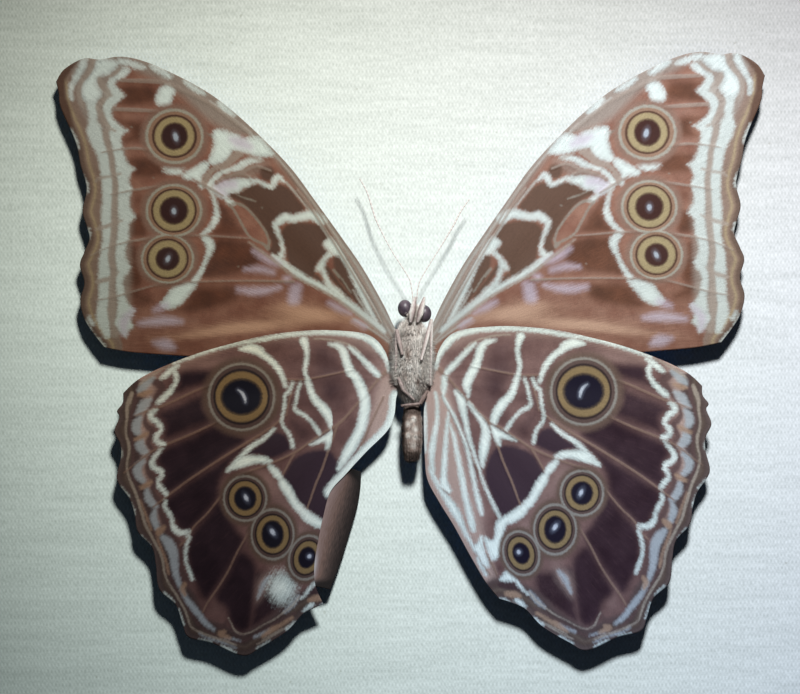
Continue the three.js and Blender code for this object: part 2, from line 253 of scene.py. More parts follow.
woven = add(tree, "Math", {0: threads[0], 1: 0.4, 2: over}, operation="MULTIPLY_ADD").outputs[0]
along = add(tree, "Mapping", {"Vector": place, "Scale": (90, 900, 90)}).outputs[0]
slub = add(tree, "TexNoise", {"Vector": along, "Scale": 1.0, "Detail": 3.0}).outputs["Fac"]
lumps = add(tree, "TexNoise", {"Vector": place, "Scale": 1500.0, "Detail": 3.0}).outputs["Fac"]
uneven = add(tree, "Math", {0: slub, 1: 0.7, 2: lumps}, operation="MULTIPLY_ADD").outputs[0]
shown = add(tree, "Math", {0: woven, 1: 0.18, 2: uneven}, operation="MULTIPLY_ADD").outputs[0]
share = add(tree, "MapRange", {"Value": shown, "From Min": 0.4, "From Max": 1.3}).outputs[0]
yarn = add(tree, "ValToRGB", {"Fac": share}, [(0, "#d0d4cf"), (1, "#f5f8f4")]).outputs[0]
fleck = add(tree, "TexNoise", {"Vector": place, "Scale": 700.0, "Detail": 2.0}).outputs["Fac"]
speck = add(tree, "MapRange", {"Value": fleck, "From Min": 0.72, "From Max": 0.78, "To Max": 0.35}).outputs[0]
mixed = add(tree, "Mix", {0: speck, 6: yarn, 7: colour("#a9a898")}, data_type="RGBA").outputs[2]
# Painted light and shade: the cloth's colour changes with x and y, as the lamp's light falls unevenly.
cloth_and_light_tint = CLOTH_AND_LIGHT_TINT
for axis, light_change in enumerate(PAINTED_LIGHT_PER_METRE):
    cloth_and_light_tint = add(tree, "VectorMath", {0: split[axis], 1: light_change, 2: cloth_and_light_tint}, operation="MULTIPLY_ADD").outputs[0]
toned = add(tree, "VectorMath", {0: mixed, 1: cloth_and_light_tint}, operation="MULTIPLY").outputs[0]
tree.links.new(toned, shader.inputs["Base Color"])
relief = add(tree, "Bump", {"Height": shown, "Strength": 0.4, "Distance": 0.0001}).outputs[0]
tree.links.new(relief, shader.inputs["Normal"])
cover = make_piece("linen", linen_points, linen_faces, [linen], "linen_cover", "linen")

# %% [markdown]
# Board and pin are plain solids, so the model's own are kept. The board is fibreboard, seen only from
# below inside the hem; the pin is a thin steel one.

# %% Board and pin
board, tree, shader = new_material("fibreboard", Roughness=0.9)
place = add(tree, "TexCoord").outputs["Object"]
grain = add(tree, "TexNoise", {"Vector": place, "Scale": 1200.0, "Detail": 4.0}).outputs["Fac"]
brown = add(tree, "ValToRGB", {"Fac": grain}, [(0, "#9c8362"), (1, "#c8b28d")]).outputs[0]
tree.links.new(brown, shader.inputs["Base Color"])
steel, *_ = new_material("pin_steel", Base_Color=colour("#9a9da2"), Metallic=1.0, Roughness=0.3)
for node, material in (("backing_board", board), ("mounting_pin", steel)):
    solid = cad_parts[node]
    solid.data.materials.clear()
    solid.data.materials.append(material)
    print(node, "keeps its solid, in", material.name)

# %% [markdown]
# Wing outlines, traced in millimetres for the right side. The left wings are the same outlines turned by
# a degree, moved a little and mirrored; the left hindwing is narrower because a strip of it is folded.

# %% Outlines
FOREWING_COSTA = [
    (1.6, 2.6), (3.2, 4.9), (5, 8.8), (8.4, 15), (11.8, 20.1), (15.9, 26), (20.2, 32), (25.8, 38), (31.3, 43),
    (36, 46.2), (42, 49.3), (46, 50.8), (49, 51.2), (52, 50.8), (54.8, 51), (58, 49.3), (59.45, 47.2),
]
FOREWING_OUTER = [
    (59.45, 47.2), (59, 45.2), (58.9, 43.5), (58.2, 41.5), (56.9, 38.6), (56, 36), (55.5, 33), (54.7, 30.2),
    (54.6, 28.4), (55.3, 25.3), (54.6, 22.6), (54.2, 20.6), (55.2, 18.2), (55.9, 16.2), (55.2, 13.2),
    (55.95, 10.2), (55.3, 7.2), (53.9, 4.8), (52, 2.3),
]
FOREWING_INNER = [(1.6, -1.2), (8, -0.6), (20, 0), (36, 0.5), (43, 1), (48, 1.5), (52, 2.3)]
HINDWING_COSTA = [
    (1.8, -2.4), (3.6, -1.7), (4.4, 0.8), (5.8, 3), (8, 4.3), (12, 4.85), (17, 5), (24, 4.4), (30, 3.1),
    (36, 1.5), (42, -0.7), (46.2, -2.8), (48.7, -5),
]
HINDWING_OUTER = [
    (48.7, -5), (48.8, -6.6), (49.8, -8), (49.4, -9), (50.25, -11.4), (49.3, -13.6), (49.25, -15.8),
    (50, -18.8), (49.6, -20.4), (47.9, -22.8), (47.1, -25.4), (46.6, -28.3), (44.3, -31), (43.7, -34),
    (43.2, -38), (40.5, -40.7), (39.4, -44), (38.4, -46.2), (34.6, -47.2), (29.4, -49.4), (26.4, -48.1),
    (22, -45.5), (19.2, -42.6), (17, -41.5), (14.6, -40.7),
]
HINDWING_INNER = [
    (1.6, -4.6), (2.3, -6.6), (1.95, -10), (2.15, -17), (2.6, -20.8), (4.6, -24.6), (7, -28.5), (9.9, -33.8),
    (12.4, -38), (14.6, -40.7),
]
FOLDED_INNER = [
    (-1.6, -4.6), (-2.6, -6.8), (-3, -10), (-4.2, -12.6), (-7.7, -16.1), (-11.1, -19.8), (-13.7, -22.8),
    (-14.9, -26.9), (-15.8, -31.2), (-16.4, -35.3), (-16.2, -38.6), (-14.9, -41.6),
]
FOREWING_ROOT = (3.0, 1.5)
HINDWING_ROOT = (3.5, -3.5)
FOREWING_HEIGHT = LINEN_TOP + 4.2
HINDWING_HEIGHT = LINEN_TOP + 4.8
BODY_AXIS = LINEN_TOP + 4.5
TURN = np.radians(-1.0)
FOREWING_SHIFT = (-0.3, 0.05)
HINDWING_SHIFT = (-0.1, -0.4)


def to_left(points, shift):
    """Right-hand points on the left: turned by TURN, moved by shift, mirrored."""
    x, y = np.asarray(points, float).T
    turned = x * np.cos(TURN) - y * np.sin(TURN) + shift[0]
    return np.column_stack([-turned, x * np.sin(TURN) + y * np.cos(TURN) + shift[1]])


def from_left(points, shift):
    """The other way round: left-hand points in the right-hand wing's own coordinates."""
    x = -points[:, 0] - shift[0]
    y = points[:, 1] - shift[1]
    return np.column_stack([x * np.cos(TURN) + y * np.sin(TURN), -x * np.sin(TURN) + y * np.cos(TURN)])


tip_to_root = np.linalg.norm(np.subtract(FOREWING_COSTA[-1], FOREWING_COSTA[0]))
print(f"forewing {tip_to_root:.1f} mm from root to tip")

# %% [markdown]
# The markings are what makes the animal. Each is a patch with a smooth outline, a toothed outline or a
# line of changing width, in millimetres on the right-hand wing; a line's points carry (x, y, width).
# Eyespots are rings: centre, half-axes of dark disc, ochre ring, dark ring and pale ring, and tilt.
# Gloom, shade and warm are soft: a strength with an outline, or (x, y, half-axes, strength, tilt).

# %% Forewing markings
FOREWING_MARKS = {
    "white": {"patches": [
        [(23, 34.4), (25.2, 37.1), (26.7, 37.2), (28, 36.9), (28.9, 37.7), (30.2, 38), (31.2, 38.4),
         (32.6, 38.6), (33.2, 37.8), (33, 36.5), (33.3, 34.9), (33.9, 33.4), (33.4, 32.7), (32.2, 32.8),
         (31, 33.35), (30.2, 34.3), (29.75, 35), (29.1, 34.9), (27.7, 34.6), (26.1, 34.1), (24.4, 33.9)],
        [(33.7, 32.8), (34.6, 33.2), (36.5, 32.2), (38.3, 31), (37.8, 30.3), (36.5, 30.3), (35.3, 29.7),
         (35.1, 30.6), (34.4, 31.6)],
        [(26.2, 29.5), (27.5, 30.1), (29.5, 30.2), (31.5, 29.6), (33.8, 28.6), (32.9, 27.6), (31.4, 26.9),
         (30.6, 26), (29.6, 26.1), (30.9, 27.3), (30.2, 28), (29.2, 28), (28, 28.7)],
        [(39.4, 45.2), (40.2, 46.2), (41.6, 46), (42.3, 45), (42.7, 43.7), (42.2, 42.9), (41, 42.5),
         (40.2, 43.1), (39.8, 44.2)],
        [(36.3, 12.6), (37.4, 13), (39, 12.8), (40.4, 12.1), (41.4, 10.8), (42.4, 9.5), (41.8, 8.7),
         (40.6, 8.6), (39.2, 9.2), (38.2, 10.2), (37.2, 11.4)],
        [(29.3, 41), (30.5, 42.3), (31.5, 43.2), (32.3, 43.3), (32, 42.5), (31, 41.5), (30, 40.9)],
        [(34.2, 44.6), (35.5, 45.7), (37, 46.7), (37.9, 46.9), (37.3, 46), (36.2, 45.2), (35, 44.6)],
        [(39.8, 47.7), (41.3, 48.9), (43, 49.7), (43.6, 49.6), (43, 48.8), (41.8, 48.1), (40.6, 47.4)],
        [(44.3, 49.2), (45.8, 50.1), (47.5, 50.7), (49, 50.8), (48.6, 50), (47.2, 49.7), (45.8, 49.1)],
        [(49.4, 50.6), (51, 50.9), (52.6, 50.6), (53, 49.3), (53.9, 48), (54.9, 46.8), (55.2, 45.3),
         (54.9, 44), (54, 43.5), (53, 43.6), (52.2, 44.3), (51.7, 45.2), (52.3, 46.2), (52.6, 47.2),
         (51.8, 48), (50.6, 48.3), (49.4, 49.2), (48.9, 50)],
        [(46.9, 48.9), (47.8, 49.4), (48.4, 49), (49.2, 48.2), (50, 47.6), (50.6, 46.8), (49.6, 46.9),
         (48.6, 47.5), (47.6, 48)],
        [(12, 17.3), (13.4, 19.9), (14.9, 19.1), (14.3, 18.2), (13.4, 17.2)],
    ], "ovals": [(39.8, 31.95, 1.55, 0.75, 5)], "lines": [
        [(33.9, 28.5, 0.3), (33.3, 27.5, 0.45), (32.9, 26, 0.5), (32.7, 24.3, 0.9), (33.2, 22.9, 0.9),
         (34.1, 21.8, 0.7), (35.2, 20.9, 0.5)],
        [(34.6, 20.3, 1.2), (33.9, 19.2, 1.4), (34.1, 17.9, 1), (34.7, 16.6, 0.55), (35.2, 15.4, 0.6),
         (35.9, 14.2, 0.8), (36.6, 13.3, 1)],
        [(35.2, 29.2, 0.7), (35.2, 29.1, 0.7)],
        [(25.2, 33.4, 0.5), (26.6, 33.3, 0.8), (27.8, 32.9, 1), (29, 32.2, 1), (30.4, 31.8, 0.6),
         (31.8, 31.3, 0.7), (33.1, 30.3, 0.8), (33.9, 29.1, 0.9)],
        [(21.3, 29.6, 0.3), (22.2, 30.4, 0.9), (22.8, 29.9, 0.9), (23.2, 29, 0.7), (24, 28.9, 0.5),
         (25, 29.4, 0.5), (26, 29.8, 0.5), (27.5, 30, 0.5)],
        [(15, 23, 1.4), (16.8, 23.9, 1.5), (18.5, 23.7, 1.3), (20, 23.4, 1.2), (21.3, 23.6, 1.3),
         (22.4, 22.8, 1.2), (22.9, 22.4, 0.9), (22.6, 21.3, 0.7), (22, 19.8, 0.45), (21.7, 18.3, 0.55),
         (22, 17.2, 0.9), (22.6, 16.7, 0.7)],
        [(5, 4.3, 0.8), (8, 6.8, 1), (12, 9.9, 1), (15, 11.7, 0.9), (18, 13.3, 0.9), (20.5, 15, 0.9),
         (22.5, 16.6, 0.9), (23.4, 17.3, 0.3)],
        [(6.2, 5.7, 0.6), (8, 9.4, 0.9), (9.6, 12.8, 0.9), (10.9, 15.6, 0.6), (12.4, 18, 0.9),
         (13.6, 19.6, 0.9)],
        [(13.8, 17.3, 0.7), (14.8, 16.4, 0.7), (15.4, 15.2, 1.2), (15.9, 14.8, 0.7)],
        [(15.2, 15.2, 0.7), (14.6, 13.5, 0.7), (13.9, 12, 1), (12.6, 10.7, 1.2), (10.8, 9.2, 0.5)],
        [(54.7, 50.6, 1), (55.1, 49.4, 1.2), (55.8, 48.2, 1), (56.6, 46.8, 0.8), (57, 45.4, 0.7),
         (56.8, 44.2, 0.4)],
        [(57.1, 39, 0.3), (56.5, 37.6, 0.5), (55.9, 36, 0.3)],
        [(55.3, 31.2, 0.3), (54.6, 29.8, 0.45), (54.4, 28.6, 0.3)],
        [(54.35, 22.2, 0.3), (54.3, 21.3, 0.4), (54.4, 20.6, 0.2)],
        [(55.2, 6.7, 0.4), (54.3, 5.3, 0.4)],
        [(53.8, 4.3, 0.35), (52.9, 3.3, 0.6), (52.1, 2.5, 0.4)],
        [(53.9, 6.3, 0.5), (54.5, 7.2, 0.5)],
        [(30.9, 38.3, 0.3), (31.5, 38.2, 0.3)],
    ]},
    "band": {"toothed": [
        [(50.2, 47.6), (49.5, 46.4), (47.8, 44.6), (48.9, 43.7), (50, 42.8), (50.3, 41.6), (49.9, 40.6),
         (48.6, 39.5), (47.3, 38.7), (48.4, 38.1), (48.75, 37.2), (48.5, 35.8), (48.1, 34.4), (47.4, 33),
         (46.4, 32.15), (47.1, 31.4), (47.45, 30.4), (46.9, 28.8), (47.5, 27), (47.4, 25.8), (46.35, 24.1),
         (47.1, 23.6), (47.6, 22.9), (47.6, 20.8), (48.2, 19), (48.3, 17.5), (47.4, 15.7), (47.8, 14.9),
         (48.5, 14.1), (48.8, 13), (48.5, 11), (48.1, 9.8), (46.8, 8.5), (47.2, 7.8), (47.7, 7.2), (47, 5.65),
         (48, 5), (48.3, 3.9), (49.2, 4.8), (50.2, 6.3), (49.7, 8), (49.5, 10), (49.8, 12), (49.8, 14),
         (49.6, 15.5), (49.9, 17.5), (49.7, 19.2), (49.4, 21.5), (49.2, 23.5), (49.3, 26), (49.2, 29.5),
         (49.4, 31), (49.7, 34), (50.2, 36.5), (50.5, 38), (50.9, 40), (51.6, 42.5), (51.2, 44), (51, 46)],
    ], "lines": [
        [(53.7, 44.6, 1.8), (53.3, 42.2, 1.5), (53.3, 40.2, 1.3), (53.1, 38.8, 2.4), (52.6, 36.8, 2),
         (51.8, 35, 1.8), (51.3, 32, 1.7), (51, 28, 1.7), (51.3, 23.8, 1.6), (51.2, 20.5, 1.5),
         (51.8, 17, 1.6), (51.8, 14.8, 1.9), (51.8, 11.7, 1.9), (52.2, 9, 1.6), (52.2, 7.3, 2),
         (51.5, 4.4, 1.1)],
    ]},
    "dark": {"patches": [
        [(18, 25), (19.3, 26.8), (20.3, 28.2), (21.9, 29.1), (23.5, 28.6), (25, 29.1), (27, 29.1), (28, 28.3),
         (29.3, 27.8), (30.9, 28), (30.3, 27.2), (28.8, 26.4), (27, 24.9), (25.3, 22.8), (24.3, 21),
         (23.5, 19.3), (24, 17.9), (22.5, 17.1), (22.1, 18.2), (22.3, 19.8), (23, 21.3), (23.4, 22.9),
         (22.2, 23.5), (21.3, 24.3), (20, 24)],
        [(13.9, 20.6), (14.8, 22), (16.4, 22.4), (19, 22.7), (21, 22.2), (21.9, 21), (21.8, 19.7),
         (21.2, 18.5), (21, 17), (20.5, 15.6), (18.5, 14), (16.5, 13.3), (16.3, 15), (15.4, 16.6), (14, 17.6),
         (14.9, 18.4), (15, 19.1), (14.2, 19.7)],
        [(7, 6.4), (8.7, 10), (10, 12.8), (11, 15.2), (12, 16.8), (13, 16.9), (13.2, 15.8), (12.7, 13.5),
         (11.5, 11.7), (9, 8.4)],
        [(23.3, 31.9), (24.6, 32.2), (25.2, 31.2), (24.6, 30), (23.6, 30), (23, 30.9)],
    ], "lines": [
        [(14.4, 14.9, 0.7), (12.6, 12.4, 0.8), (10.6, 10, 0.7)],
        [(16.2, 13.6, 0.6), (14.6, 11.7, 0.5)],
        [(55.6, 50.9, 0.3), (57.2, 49.4, 0.9), (58.3, 48.2, 1.3), (58.7, 46.6, 1.3), (58.4, 44.6, 1),
         (58, 42.6, 1.6), (57.6, 40.6, 1.4), (56.9, 38.6, 0.8)],
    ]},
    "brown": {"lines": [
        [(52.2, 47.6, 0.6), (51.6, 46.4, 1), (50.7, 45.1, 1.1), (51.4, 44, 0.8), (52.4, 42.9, 0.9),
         (52.1, 41.9, 0.9), (51.4, 40.4, 0.9), (50.6, 39.2, 0.7), (51.2, 38.4, 0.8), (50.9, 36.6, 0.8),
         (50.3, 34.4, 0.8), (50.2, 32.4, 0.8), (49.9, 31.2, 0.7), (49.7, 29.5, 0.9), (50, 26, 0.9),
         (50, 23.2, 0.9), (50.4, 19.6, 1), (50.6, 17.5, 1.1), (50.2, 15, 0.9), (50.6, 13, 1),
         (50.6, 9.2, 1.2), (50.7, 7.6, 1.2), (50.6, 6.2, 0.6), (50.2, 4.5, 1.3)],
        [(51, 44.8, 0.5), (50, 44.7, 0.4)],
        [(50.8, 39.2, 0.5), (49.6, 38.7, 0.4)],
        [(49.9, 31.2, 0.5), (48.7, 31.5, 0.3)],
        [(48.6, 23.7, 0.3), (50.5, 22.9, 0.7), (53, 22.2, 0.5)],
        [(49.4, 15, 0.3), (50.6, 14, 0.8), (53, 13.3, 0.7)],
        [(50, 31.1, 0.4), (52.2, 30.8, 0.5), (53, 30.3, 0.4)],
        [(50.5, 8, 1), (51, 8.7, 0.8)],
        [(53.1, 50.6, 0.7), (53.5, 49.4, 0.8), (54.2, 48.3, 0.8), (55.1, 47.2, 0.7), (55.6, 45.8, 0.7),
         (55.5, 44.4, 0.7), (55, 43.2, 0.8)],
        [(48.7, 49.1, 0.4), (49.3, 48.5, 0.5), (50.3, 47.9, 0.3)],
        [(5.2, 3.6, 0.4), (8, 6, 0.35), (12, 9.1, 0.35), (16, 11.6, 0.35), (20, 13.7, 0.35), (23, 16.2, 0.4),
         (25.6, 18.2, 0.4), (27.4, 19.6, 0.3)],
        [(28.2, 34.2, 0.5), (29.2, 34.2, 1.4), (30.2, 33.3, 1.3), (31.4, 32.4, 1), (32.8, 32.1, 1),
         (33.9, 31.2, 0.9), (34.6, 30, 1), (34.8, 29.3, 0.7)],
        [(24.8, 33.1, 0.4), (27.4, 34.1, 0.25)],
    ]},
    "cream": {"lines": [
        [(24, 19.6, 0.4), (24.5, 21.2, 0.4), (26, 23.4, 0.4), (27.6, 25.2, 0.45), (28.9, 26, 0.5),
         (30.1, 26.1, 0.4)],
        [(24.2, 18.5, 0.8), (25, 19.2, 0.45), (26.4, 19.9, 0.4), (27.5, 20.8, 0.4), (28.6, 22.8, 0.4),
         (29.8, 25, 0.4), (30.6, 25.9, 0.5)],
        [(23.9, 19.7, 0.4), (24.2, 18.6, 0.6)],
        [(33.2, 37.4, 0.3), (34.8, 38.3, 0.35), (36, 39, 0.3)],
        [(26.1, 26.4, 0.2), (27.3, 26.8, 0.35), (28.5, 27.2, 0.2), (29.3, 27.6, 0.2)],
        [(28.2, 28.2, 0.3), (28.3, 28.2, 0.3)],
        [(25, 25.3, 0.3), (25.1, 25.3, 0.3)],
        [(12.2, 13.4, 0.5), (13.2, 14.6, 0.5)],
        [(29.2, 15.5, 0.25), (29.3, 15.5, 0.25)],
        [(46.8, 39.3, 0.3), (46.9, 39.3, 0.3)],
        [(43.2, 30.7, 0.25), (43.3, 30.7, 0.25)],
        [(10.4, 10.8, 0.25), (11.9, 13.2, 0.3)],
    ]},
    "vein": {"lines": [
        [(27.3, 20.2, 0.3), (30, 20.4, 0.3), (35, 20.8, 0.4), (40, 20.9, 0.3), (44, 20.5, 0.5),
         (47.5, 20, 0.4), (51, 19.1, 0.3), (54, 17.8, 0.25)],
        [(20, 12.8, 0.45), (25, 13, 0.35), (30, 13.1, 0.3), (36, 13.05, 0.3), (42, 12.8, 0.35),
         (46, 11.9, 0.35), (50, 10.8, 0.4), (53.4, 10.2, 0.3)],
        [(42.6, 41.9, 0.5), (45, 42.1, 0.7), (49.8, 42.4, 0.7)],
        [(43.5, 35.3, 0.4), (46, 35.7, 0.5), (48.4, 35.6, 0.4), (52, 35.1, 0.3)],
        [(42.5, 29.2, 0.4), (45, 28.9, 0.5), (47, 28.6, 0.4), (50.5, 28, 0.3)],
        [(4.5, 4.6, 0.35), (6.2, 8.6, 0.35), (9.2, 13.8, 0.35), (12.2, 18.8, 0.35), (16.4, 25.6, 0.35),
         (19.2, 29.4, 0.35), (21.4, 32.2, 0.3)],
        [(5.4, 5.6, 0.3), (7, 8.6, 0.35), (9.9, 13.8, 0.35), (12.9, 18.9, 0.35), (16.9, 25.2, 0.5),
         (19.1, 28.2, 0.4)],
        [(27.2, 38.1, 0.5), (30, 40.3, 0.7), (34, 43.2, 0.6), (38, 45.2, 0.6), (41, 46.6, 0.7), (44, 47, 0.8),
         (48.5, 47.2, 0.6)],
        [(23.5, 31.5, 0.4), (26, 32.3, 0.5), (28.5, 31.2, 0.6), (31, 30.6, 0.6), (32.7, 29.6, 0.5)],
        [(27, 30.6, 0.4), (29.5, 31.1, 0.4), (31.5, 30.2, 0.3)],
        [(31.6, 27.4, 0.4), (33.5, 28.6, 0.5), (36, 30, 0.3)],
    ]},
    "stripe": {"lines": [
        [(2.4, 3.2, 0.3), (3.9, 5.6, 0.35), (6.4, 10.2, 0.4), (9.2, 15.2, 0.4), (12.1, 19.5, 0.4),
         (16.2, 25.4, 0.35), (20, 30.7, 0.3), (24, 35.4, 0.3), (28.9, 39.6, 0.5), (33.5, 43.4, 0.4)],
        [(3.2, 2.9, 0.3), (5, 5.6, 0.4), (7.1, 9.3, 0.5), (9.5, 13.4, 0.4), (12.6, 18.2, 0.5),
         (16.9, 24.5, 0.4), (20.9, 29.5, 0.4)],
        [(4, 2.6, 0.3), (6.2, 5.2, 0.4), (8.4, 8.4, 0.35), (10, 11.2, 0.25)],
        [(3.6, 1.9, 0.3), (6.6, 4.2, 0.4), (10, 6.4, 0.3)],
    ]},
    "lilac": {"patches": [
        [(18.8, 12.2), (20.2, 12.3), (20.8, 10.6), (20.7, 9.2), (19.3, 9.2), (18.9, 10.6)],
    ], "lines": [
        [(22.3, 11.9, 0.3), (24.5, 11.4, 0.9), (27, 11.3, 1.1), (29.3, 11.6, 0.4)],
        [(10.5, 7.2, 0.2), (12.5, 8.2, 0.8), (14, 9.1, 0.4)],
        [(40.3, 2, 0.4), (41.7, 2.6, 1.6), (43.5, 2.9, 0.4)],
        [(41.5, 9.2, 0.8), (42.8, 8.7, 0.8), (43.5, 8.4, 0.3)],
        [(22.5, 15.8, 0.6), (24.4, 16.6, 0.9), (26.5, 18, 0.5)],
        [(23.5, 14.4, 0.5), (25.5, 15, 0.9), (28, 15, 0.3)],
        [(20.6, 13.6, 0.3), (21.2, 13.3, 0.6), (20.9, 12.9, 0.3)],
        [(39, 6.4, 0.4), (42, 6.6, 1.2), (46, 6.2, 0.5)],
        [(8.2, 5, 0.5), (9, 5.6, 0.6), (10, 6, 0.3)],
        [(47.2, 8.4, 0.5), (48.6, 6.6, 1.2), (48.6, 4.6, 0.6)],
        [(31.6, 28, 1.2), (32.4, 28.6, 1), (31.4, 29.2, 1.4), (29.8, 29.3, 1.2)],
        [(27, 35.6, 0.8), (28.6, 36.3, 1.4), (30, 36.9, 0.6)],
    ]},
}
FOREWING_GLOOM = [
    (1, [(26.5, 19), (30, 19.9), (33, 19.8), (33.7, 17.6), (34.8, 15), (35, 13.8), (30, 14.3), (26.5, 15.6),
     (25.6, 17)]),
    (1, [(28.6, 21), (33.2, 21), (32.2, 22.8), (31.9, 24.4), (32.3, 26.4), (31, 25), (29.5, 22.8)]),
    (0.8, [(30, 12.2), (36, 12.2), (38, 9.8), (40, 8.3), (36, 8), (30, 9.6)]),
    (1, [(45.8, 13), (48.3, 13), (47.4, 15.6), (48.1, 18), (47.4, 19.3), (46.2, 18.9), (45.9, 16)]),
    (0.7, [(44.4, 9), (47.4, 10.2), (48.1, 12), (46, 11.8), (43.5, 10.6)]),
    (1, [(44.8, 21), (47.3, 21.2), (47.3, 22.8), (46.2, 24.2), (45, 24.4)]),
    (0.5, [(44.8, 26), (47.2, 26), (46.8, 28.2), (44.8, 28.4)]),
    (0.95, [(41.8, 31), (46.2, 31), (46.2, 32.4), (47.6, 33.7), (44, 34.2), (42, 32.9)]),
    (0.8, [(44.7, 37), (48.4, 36.8), (47.1, 38.7), (49.5, 40.3), (45, 40.2)]),
    (0.8, [(43, 43.2), (49.8, 43), (47.9, 44.6), (49.2, 46.2), (43.4, 46.3)]),
    (0.5, [(43.2, 47.6), (47, 48.2), (46.4, 48.9), (44, 48.7)]),
    (0.5, [(34.5, 40.8), (38.4, 43.6), (36, 43.2), (32.2, 40.2)]),
    (0.6, [(22.6, 30.8), (25.6, 32.8), (27.5, 32.2), (29.5, 31.6), (31.5, 30.7), (29, 30.7), (26, 30.4),
     (24, 29.6), (23.4, 30.2)]),
]
FOREWING_HAZE = [
    (0.95, [(46, 53), (48.2, 48.5), (50, 45), (49.9, 40), (48, 35), (47.6, 30), (47, 25), (47.3, 20),
     (47.3, 15), (47.5, 10), (47.6, 5.5), (50.5, 3.6), (53, 1), (66, 2), (67, 54), (56, 60)]),
    (0.85, [(0.5, 2.5), (4, 9.5), (10.5, 21), (19, 33), (24.6, 39), (30, 44), (35, 47.4), (41, 50.6),
     (46, 52.2), (46, 49), (42, 46.6), (38, 43.8), (34, 40), (30, 37.8), (26.5, 37), (24.3, 35), (21.3, 31.2),
     (17, 25.4), (13.2, 19.7), (10, 14.6), (7, 8.4), (5.4, 4), (3, 1)]),
    (0.5, [(23, 33.5), (28, 33.6), (32.5, 30), (31, 27.6), (25, 30.5)]),
    (0.4, [(36, 37), (40, 41.5), (43, 42), (41, 36.5), (37.5, 33)]),
]
FOREWING_EYES = [
    ((39.6, 37.6), [(2.35, 2.4), (3.4, 3.35), (4.3, 4), (4.95, 4.7)], 10),
    ((39.9, 25.1), [(2.5, 2.45), (3.55, 3.5), (4.2, 3.95), (4.8, 4.5)], 0),
    ((41.1, 17), [(2.1, 2.05), (3.25, 3.15), (3.95, 3.75), (4.5, 4.15)], 0),
]
FOREWING_PUPILS = {
    "ovals": [(39.4, 37.5, 0.42, 0.75, -15), (39.9, 25, 0.4, 0.55, 0), (41.05, 17, 0.36, 0.6, 25)],
}
FOREWING_SHADE = [
    (31, 17.3, 4.5, 3.2, 0.9), (31, 23.2, 2, 2.2, 0.8), (35.5, 10.3, 4.5, 2, 0.75, -25),
    (46.6, 15, 1.8, 3.4, 1), (46.4, 23, 1.6, 1.8, 0.9), (46, 38.5, 1.6, 1, 0.8), (45, 32.6, 2.2, 1, 0.9),
    (46.5, 44.2, 3, 1.4, 0.7), (47, 11, 2, 1.5, 0.5), (26.5, 10.2, 6, 1, 0.35), (46, 8.5, 1.8, 1.5, 0.5),
    (49.5, 3.2, 2.5, 1.2, 0.5), (42, 6.8, 5, 1.4, -0.6), (30, 8.3, 8, 1, -0.1), (36, 39.8, 3, 1, -0.1),
    (45, 41, 3, 1.2, -0.25), (45.5, 36.4, 2.6, 1.2, -0.25), (36, 36, 2, 4, -0.3), (33, 41, 5, 1.4, -0.25, 35),
    (24, 14.8, 3, 1, -0.35), (40, 22, 8, 10, -0.25), (8, 12, 1.2, 8, -0.4, -28), (15, 24.5, 1, 8, -0.5, -33),
    (20, 27, 2.5, 2, 0.6), (16, 19.8, 2.2, 2.2, 0.5), (25, 24.6, 1.5, 2.5, 0.4),
]
FOREWING_WARM = [
    (17, 7.2, 6.5, 1.5, 0.9, 3), (27, 5.4, 8, 1.1, 0.8, -2), (36, 4.2, 8, 0.9, 0.55, -5),
    (9, 5.4, 2.5, 0.8, 0.5, 30), (21, 8.8, 3, 1, 0.35), (33, 13.4, 5, 0.6, 0.2), (53.3, 32, 0.9, 12, 0.25),
    (54.5, 11, 1.2, 5, 0.3),
]
print(len(FOREWING_MARKS), "kinds of mark and", len(FOREWING_EYES), "eyespots on the forewing")

# %% [markdown]
# The hindwing has the same kinds of mark, but darker ground between them, wavy lines along its outer
# margin and a large eyespot near its front edge.

